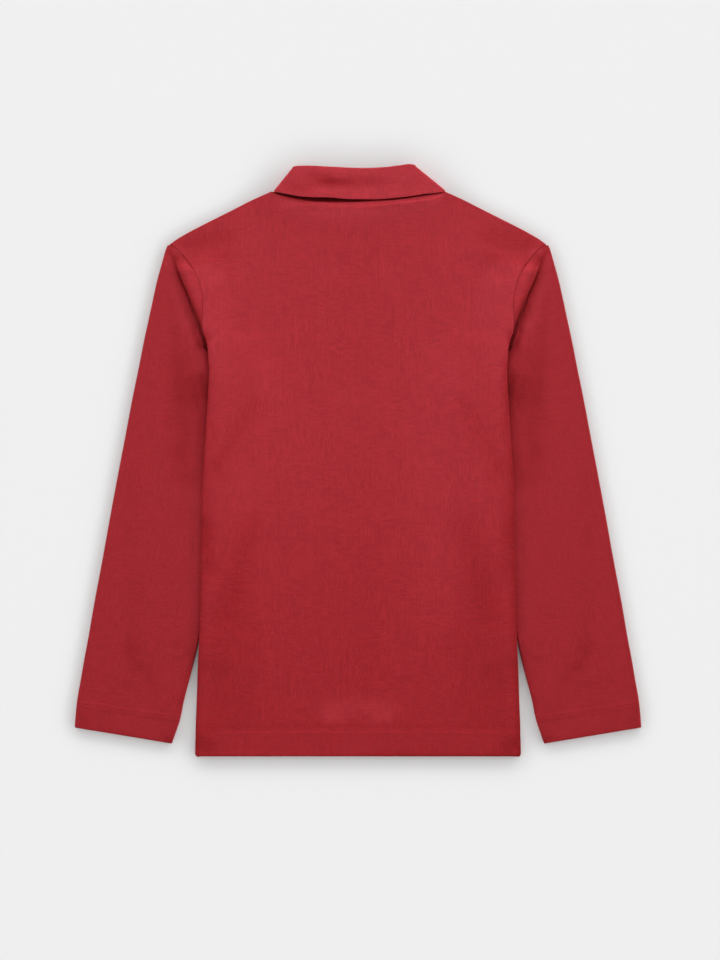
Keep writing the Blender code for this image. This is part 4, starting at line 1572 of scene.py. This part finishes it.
    def shape(self) -> ClothGrid:
        """Places every point of the neck band.

        Returns:
            The band as a grid.
        """
        levels = self.levels()
        middle = np.array([self.ring(*level) for level in levels])
        steps = np.linalg.norm(np.diff(middle, axis=0), axis=-1)
        run = np.concatenate([np.zeros((1, middle.shape[1])), np.cumsum(steps, axis=0)])
        edge = np.minimum(run, run[-1:] - run)
        around = np.linalg.norm(middle - np.roll(middle, 1, axis=1), axis=-1)[len(levels) // 2]
        grain = np.stack([np.cumsum(around)[None, :] + 0.0 * run, run], axis=-1)
        turned = np.array([level[3] for level in levels])[:, None]
        # Painted light and shade: the band lighter overall, the marks' painted light and shade on its
        # turned-down layer, and painted shade along its upper fold.
        _, tone = marked(self.marks, middle[..., 0], middle[..., 1])
        light = self.light * (1.0 + tone * (middle[..., 2] > self.centre) * turned)
        from_top = self.outline.collar_top.at(middle[..., 0]) - middle[..., 1]
        light = light * (1.0 - self.fold_shade * bell(from_top, self.fold_reach))
        wall = np.full(run.shape, self.layers.band_wall)
        self.grid = ClothGrid(middle, wall, edge, grain, light, ring=True)
        return self.grid


# The whole garment


@dataclass(frozen=True)
class Cut:
    """The flat cloth of a piece, in metres; its area leaves out turned-up hems and allowances."""

    width: float
    length: float
    area: float

    def declare(self, piece: bpy.types.Object, rests_on: list[str], sewn: list[bpy.types.Object]) -> None:
        """Hangs a piece of cloth on the root, hides the solid that it stands for, and logs its faces and the
        pieces on it.

        Args:
            piece: The cloth, named after the solid.
            rests_on: What it lies on; not used.
            sewn: Pieces on it.
        """
        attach(piece, ROOT)
        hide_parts(piece.name.removesuffix("_cloth"))
        names = ", ".join(each.name for each in sewn) or "nothing"
        log.info("%s: %d faces, with %s", piece.name, len(piece.data.polygons), names)


@dataclass
class Garment:
    """The five pieces of cloth and their stitches."""

    outline: Outline = field(default_factory=Outline)
    layers: Layers = field(default_factory=Layers)
    stitching: Stitching = field(default_factory=Stitching)
    panel_cut: Cut = Cut(0.320, 0.502, 0.127)
    sleeve_cut: Cut = Cut(0.200, 0.430, 0.066)
    collar_cut: Cut = Cut(0.300, 0.056, 0.0150)

    def body_marks(self) -> tuple[Mark, ...]:
        """Soft folds of the back and painted light and shade on it, the same on its left and right.

        Returns:
            The marks.
        """
        return (
            Mark((131, 160), (122, 80), 17, tone=0.07),
            Mark((90, 185), (100, 120), 22, tone=0.02),
            Mark((143, 184), (112, 190), 9, rise=-0.1, tone=-0.10),
            Mark((138, 168), (112, 174), 5, tone=-0.11),
            Mark((134, 157.5), (120, 155), 6, tone=0.14),
            Mark((153, 178), (148, 178), 3, tone=0.07),
            Mark((130.5, 109), (128.5, 102), 2.6, tone=-0.20),
            Mark((81, 76), (80, 58), 8, rise=0.15, tone=0.03),
            Mark((88, 48), (124, -10), 8, rise=-0.2, tone=-0.06),
            Mark((104, -18), (100, -50), 16, rise=0.15, tone=0.03),
            Mark((92, -55), (112, -131), 12, rise=-0.2, tone=-0.08),
            Mark((102, -110), (92, -160), 14, rise=-0.1, tone=-0.05),
            Mark((124, -90), (130, -96), 7, tone=-0.05),
            Mark((120, -2), (114, -16), 5, tone=-0.05),
            Mark((132, -50), (133, -72), 4, tone=-0.09),
            Mark((127, -27), (126, -90), 5, tone=-0.06),
            Mark((125.5, -54), (125, -66), 3.5, tone=-0.07),
            Mark((124, 32), (123, 20), 4, tone=-0.05),
            Mark((129.5, 50), (130, 10), 1.8, tone=0.06),
            Mark((122, -190), (124, -226), 7, tone=-0.04),
            Mark((118, -165), (104, -215), 16, tone=-0.07),
            Mark((91, -180), (90, -205), 5, tone=-0.03),
            Mark((0, 170), (0, -190), 30, tone=-0.02),
            Mark((30, 159), (20, 158), 9, rise=0.1, tone=0.03),
            Mark((0, 52), (12, 52), 9, rise=0.1, tone=0.03),
            Mark((14, -220), (25, -219), 5.5, rise=0.1, tone=0.09),
            Mark((0, -249.8), (133, -249.8), 2.6, tone=0.15),
            Mark((0, -246), (10, -246), 6, tone=0.05),
            Mark((0, -209), (24, -212), 9, rise=0.1, tone=0.14),
            Mark((132, -240), (128, -243), 9, tone=-0.15),
            Mark((126, -163), (105, -168), 6, tone=0.03),
            Mark((0, -225.5), (135, -228), 3.2, tone=-0.035),
        )

    def one_side_marks(self) -> tuple[Mark, ...]:
        """Painted light and shade that only one side of the back has.

        Returns:
            The marks.
        """
        return (
            Mark((70, 80), (70, -120), 26, tone=0.04),
            Mark((112, 155), (108, 125), 11, tone=0.06),
            Mark((-118, -130), (-112, -165), 12, tone=-0.03),
            Mark((-131, -52), (-128, -88), 4.5, tone=-0.06),
            Mark((147, 168), (143, 165.5), 2.5, tone=-0.09),
            Mark((151, 178), (148, 177), 2.6, tone=0.08),
            Mark((129, 52), (128.5, 12), 2.4, tone=0.05),
        )

    def sleeve_marks(self, side: Side) -> tuple[Mark, ...]:
        """Soft folds of a sleeve's upper layer and painted light and shade on it.

        Args:
            side: Which sleeve; each has a few of its own.

        Returns:
            The marks.
        """
        of_one_side = {
            Side.LEFT: (
                Mark((141.5, 159), (138, 152), 4, tone=0.16),
                Mark((134, 92), (133.5, 80), 5, tone=0.10),
                Mark((146, 158), (144, 154), 3, tone=0.08),
                Mark((156, 177), (154, 176.5), 2.2, tone=0.07),
                Mark((134, 10), (137.5, -135), 3, tone=0.07),
            ),
            Side.RIGHT: (
                Mark((136, 158), (140, 164), 4.5, tone=0.18),
                Mark((145, 161), (140, 153), 3, tone=0.18),
                Mark((156, 177), (153, 176), 2.2, tone=0.13),
                Mark((153.5, 168.5), (151.5, 165.5), 2.6, tone=-0.20),
                Mark((152, 150), (141, 132), 3, tone=-0.10),
                Mark((143, 132), (135, 104), 3.6, tone=-0.17),
                Mark((130, 76), (130, 40), 4, tone=-0.12),
                Mark((137, 0), (139, -140), 5, tone=-0.05),
            ),
        }
        return of_one_side[side] + (
            Mark((158, 136), (152, 42), 4.5, rise=-0.15, tone=-0.05),
            Mark((150, 84), (146, 56), 13, tone=-0.10),
            Mark((140, 50), (147, 10), 10, tone=-0.05),
            Mark((153, 8), (148, -14), 8, tone=-0.10),
            Mark((139, -28), (139, -36), 5, tone=0.06),
            Mark((135.5, -20), (139, -150), 4, tone=0.07),
            Mark((132.5, 70), (130, 56), 3.8, tone=-0.16),
            Mark((136.5, 108), (131.5, 98), 3.6, tone=-0.16),
            Mark((136, 100), (133.5, 94), 2.8, tone=-0.16),
            Mark((141, 68), (138, 50), 5, tone=-0.12),
            Mark((160, 177), (154.5, 170.5), 3.4, tone=-0.17),
            Mark((164, -163), (141, -163.5), 1.8, tone=0.06),
            Mark((197, -160), (189, -176), 3.5, tone=-0.05),
            Mark((226, -155), (222, -165), 5, tone=0.03),
            Mark((163, -236), (158.5, -239.5), 3, tone=-0.07),
            Mark((153, 60), (150, 35), 11, tone=-0.04),
            Mark((155, 32), (150, 24), 8, tone=-0.07),
            Mark((139, 162), (134, 140), 4.5, tone=0.10),
            Mark((135, -40), (141, -150), 9, tone=0.07),
            Mark((194, -15), (192, -160), 8, rise=-0.15, tone=-0.03),
            Mark((195, -158), (184, -176), 6, rise=-0.15, tone=-0.05),
            Mark((184, -176), (176, -184), 7, rise=-0.1, tone=-0.04),
            Mark((168, -180), (160, -186), 9, rise=0.12, tone=0.03),
            Mark((143, -165), (152, -170), 2.2, rise=-0.25, tone=-0.03),
            Mark((143, -176), (150, -184), 2, rise=-0.2, tone=-0.04),
            Mark((139, -164), (151, -205), 2.6, tone=-0.10),
            Mark((150, -208), (158, -238), 3, tone=-0.03),
            Mark((187, -211), (178, -213), 5, rise=0.1, tone=0.05),
            Mark((232, -203), (222, -204), 5, rise=0.1, tone=0.05),
            Mark((160, -237), (158.5, -239), 4, tone=-0.10),
            Mark((238, -206.5), (156, -221.5), 1.4, tone=-0.04),
            Mark((172, -229), (200, -222), 6, tone=0.03),
            Mark((161, 172), (148, 118), 6, tone=0.14),
            Mark((144, 116), (140, 102), 4.5, tone=0.14),
            Mark((134, 92), (131.5, 80), 2.5, tone=0.08),
            Mark((145, 164), (134, 132), 4.5, tone=0.11),
            Mark((156, 178.7), (154, 177.5), 2.4, tone=0.10),
            Mark((238, -214), (236, -222), 5, tone=-0.06),
        )

    def collar_marks(self) -> tuple[Mark, ...]:
        """Soft folds of the turned-down neck band and painted light and shade on it.

        Returns:
            The marks.
        """
        return (
            Mark((-31, 237.2), (-9, 236.6), 4.6, rise=-0.2, tone=-0.13),
            Mark((-26, 236.6), (-13, 236.4), 2.8, tone=-0.07),
            Mark((-39, 243), (-23, 238), 4.2, rise=-0.15, tone=-0.08),
            Mark((-2, 237.5), (17, 239), 4, rise=-0.1, tone=-0.08),
            Mark((-40, 240), (-38, 235), 6, tone=-0.06),
            Mark((-59, 233), (-42, 230), 5, tone=-0.07),
            Mark((-34, 234.3), (20, 234.3), 3.6, tone=-0.09),
            Mark((-50, 232), (-46, 233), 5, tone=-0.05),
            Mark((24, 235), (52, 234), 3, tone=-0.05),
            Mark((-48, 247.5), (12, 246), 2.6, tone=0.06),
            Mark((-56, 235), (-55, 229), 1.6, rise=-0.25, tone=-0.04),
            Mark((49, 250.5), (74.5, 230), 1.8, tone=-0.18),
        )

    def dress(self, part: BodyPanel | Sleeve, name: str, seam: str, cloth: bpy.types.Material,
              thread: bpy.types.Material) -> tuple[bpy.types.Object, bpy.types.Object]:  # fmt: skip
        """Makes a panel or a sleeve with its stitches.

        Args:
            part: The panel or sleeve.
            name: Name of the solid that it stands for.
            seam: What its stitches hold.
            cloth: Material of the cloth.
            thread: Material of the stitches.

        Returns:
            The cloth and the stitches.
        """
        piece = part.shape().build(name + "_cloth")
        piece.data.materials.append(cloth)
        return piece, self.stitching.sew(f"{name}_{seam}_stitches", part.stitches(), thread)

    def build(self) -> None:
        """Builds and dresses every piece, hangs it on the root and hides its solid."""
        outline, layers = self.outline, self.layers
        knit = KnitFinish("red_jersey").make()
        soft_knit = KnitFinish("red_sleeve_jersey", ticks=0.12, grain=0.45, painted_shade_deepening=0.9).make()
        rib = KnitFinish("red_rib", wale=1.5, course=1.0, relief=0.22, ticks=0.15, grain=0.55).make()
        thread = ThreadFinish().make()
        front = BodyPanel(Face.FRONT, outline, layers)
        piece, sewn = self.dress(front, "front_panel", "hem", knit, thread)
        self.panel_cut.declare(piece, ["floor"], [sewn])
        back = BodyPanel(Face.BACK, outline, layers, self.body_marks(), self.one_side_marks())
        piece, sewn = self.dress(back, "back_panel", "hem", knit, thread)
        below = ["front_panel_cloth", "sleeve_left_cloth", "sleeve_right_cloth"]
        self.panel_cut.declare(piece, below, [sewn])
        for side in Side:
            sleeve = Sleeve(side, outline, layers, self.sleeve_marks(side))
            sleeve.shade_share = 1.0 + 0.2 * side.value
            sleeve.fold_shade = 0.18 if side is Side.RIGHT else 0.0
            name = f"sleeve_{side.name.lower()}"
            piece, sewn = self.dress(sleeve, name, "cuff", soft_knit, thread)
            self.sleeve_cut.declare(piece, ["floor"], [sewn])
        collar = Collar(outline, layers, marks=self.collar_marks())
        piece = collar.shape().build("collar_cloth")
        piece.data.materials.append(rib)
        self.collar_cut.declare(piece, ["back_panel_cloth"], [])


# Floor, light and camera


@dataclass
class Studio:
    """A pale floor, an even tent of light and a camera that looks straight down."""

    floor_size: float = 60.0
    floor_drop: float = 0.0004
    floor_colour: tuple[float, float, float, float] = (0.80, 0.80, 0.80, 1.0)
    lens: float = 85.0
    sensor: float = 36.0
    picture_height: float = 0.816
    centre: tuple[float, float] = (0.0017, -0.0168)
    cloth_top: float = 0.003  # the picture is measured at this height
    lamp_along: float = 0.9
    lamp_height: float = 2.7
    lamp_size: float = 1.8
    lamp_power: float = 5.9
    tent: float = 5.20
    tent_seen: float = 0.87  # how bright the tent is to the camera itself
    tent_stops: tuple[tuple[float, float], ...] = (
        (0.0, 0.1), (0.14, 0.25), (0.19, 1.0), (0.36, 1.0), (0.43, 0.09), (1.0, 0.06))  # fmt: skip
    brighter: tuple[tuple[str, float], ...] = (("X", 0.20), ("Y", 0.30))  # towards the right and the neck

    def floor(self) -> bpy.types.Object:
        """Makes the floor.

        Returns:
            The floor.
        """
        half = self.floor_size / 2.0
        mesh = bpy.data.meshes.new("floor")
        corners = [(x * half, y * half, -self.floor_drop) for x, y in ((-1, -1), (1, -1), (1, 1), (-1, 1))]
        mesh.from_pydata(corners, [], [(0, 1, 2, 3)])
        material = bpy.data.materials.new("pale_floor")
        material.use_nodes = True
        shader = material.node_tree.nodes["Principled BSDF"]
        shader.inputs["Base Color"].default_value = self.floor_colour
        shader.inputs["Roughness"].default_value = 0.95
        shader.inputs["Specular IOR Level"].default_value = 0.1
        mesh.materials.append(material)
        floor = bpy.data.objects.new("floor", mesh)
        bpy.context.scene.collection.objects.link(floor)
        return floor

    def light(self) -> None:
        """Lights the scene: most of it low and from all round, the rest from a soft lamp above."""
        world = bpy.data.worlds.new("light_tent")
        bpy.context.scene.world = world
        world.use_nodes = True
        nodes = NodeTree(world.node_tree)
        background = world.node_tree.nodes["Background"]
        way = nodes.add("SeparateXYZ")
        nodes.feed(way.inputs[0], nodes.add("TexCoord").outputs["Generated"])
        ramp = nodes.add("ValToRGB")
        nodes.feed(ramp.inputs[0], way.outputs["Z"])
        elements = ramp.color_ramp.elements
        while len(elements) < len(self.tent_stops):
            elements.new(0.5)
        for element, (place, value) in zip(elements, self.tent_stops):
            element.position = place
            element.color = (value, value, value, 1.0)
        strength = nodes.math("MULTIPLY", ramp.outputs[0], self.tent)
        for axis, more in self.brighter:
            slope = nodes.math("MULTIPLY_ADD", way.outputs[axis], more, 1.0)
            strength = nodes.math("MULTIPLY", strength, slope)
        seen = nodes.add("LightPath").outputs["Is Camera Ray"]
        shown = nodes.add("Mix", data_type="FLOAT")
        nodes.feed(shown.inputs[0], seen)
        nodes.feed(shown.inputs[2], strength)
        shown.inputs[3].default_value = self.tent_seen
        nodes.feed(background.inputs["Strength"], shown.outputs[0])
        background.inputs["Color"].default_value = (1.0, 1.0, 1.0, 1.0)
        lamp = bpy.data.lights.new("softbox", "AREA")
        lamp.shape, lamp.size = "SQUARE", self.lamp_size
        lamp.energy = self.lamp_power
        hung = bpy.data.objects.new("softbox", lamp)
        hung.location = (0.0, self.lamp_along, self.lamp_height)
        hung.rotation_euler = (-math.atan2(self.lamp_along, self.lamp_height), 0.0, 0.0)
        bpy.context.scene.collection.objects.link(hung)

    def camera(self) -> None:
        """Hangs the camera where the picture was taken from."""
        camera = bpy.data.cameras.new("camera")
        camera.lens, camera.sensor_width = self.lens, self.sensor
        hung = bpy.data.objects.new("camera", camera)
        distance = self.picture_height * self.lens / self.sensor
        hung.location = (*self.centre, self.cloth_top + distance)
        bpy.context.scene.collection.objects.link(hung)
        bpy.context.scene.camera = hung

    def colours(self) -> None:
        """Shows the colours as they are lit, with no film look."""
        bpy.context.scene.view_settings.view_transform = "Standard"


def main() -> None:
    """Builds the garment, then the studio round it."""
    logging.basicConfig(level=logging.INFO, format="%(message)s")
    studio = Studio()
    studio.floor()
    Garment().build()
    studio.light()
    studio.camera()
    studio.colours()


if __name__ == "__main__":
    main()
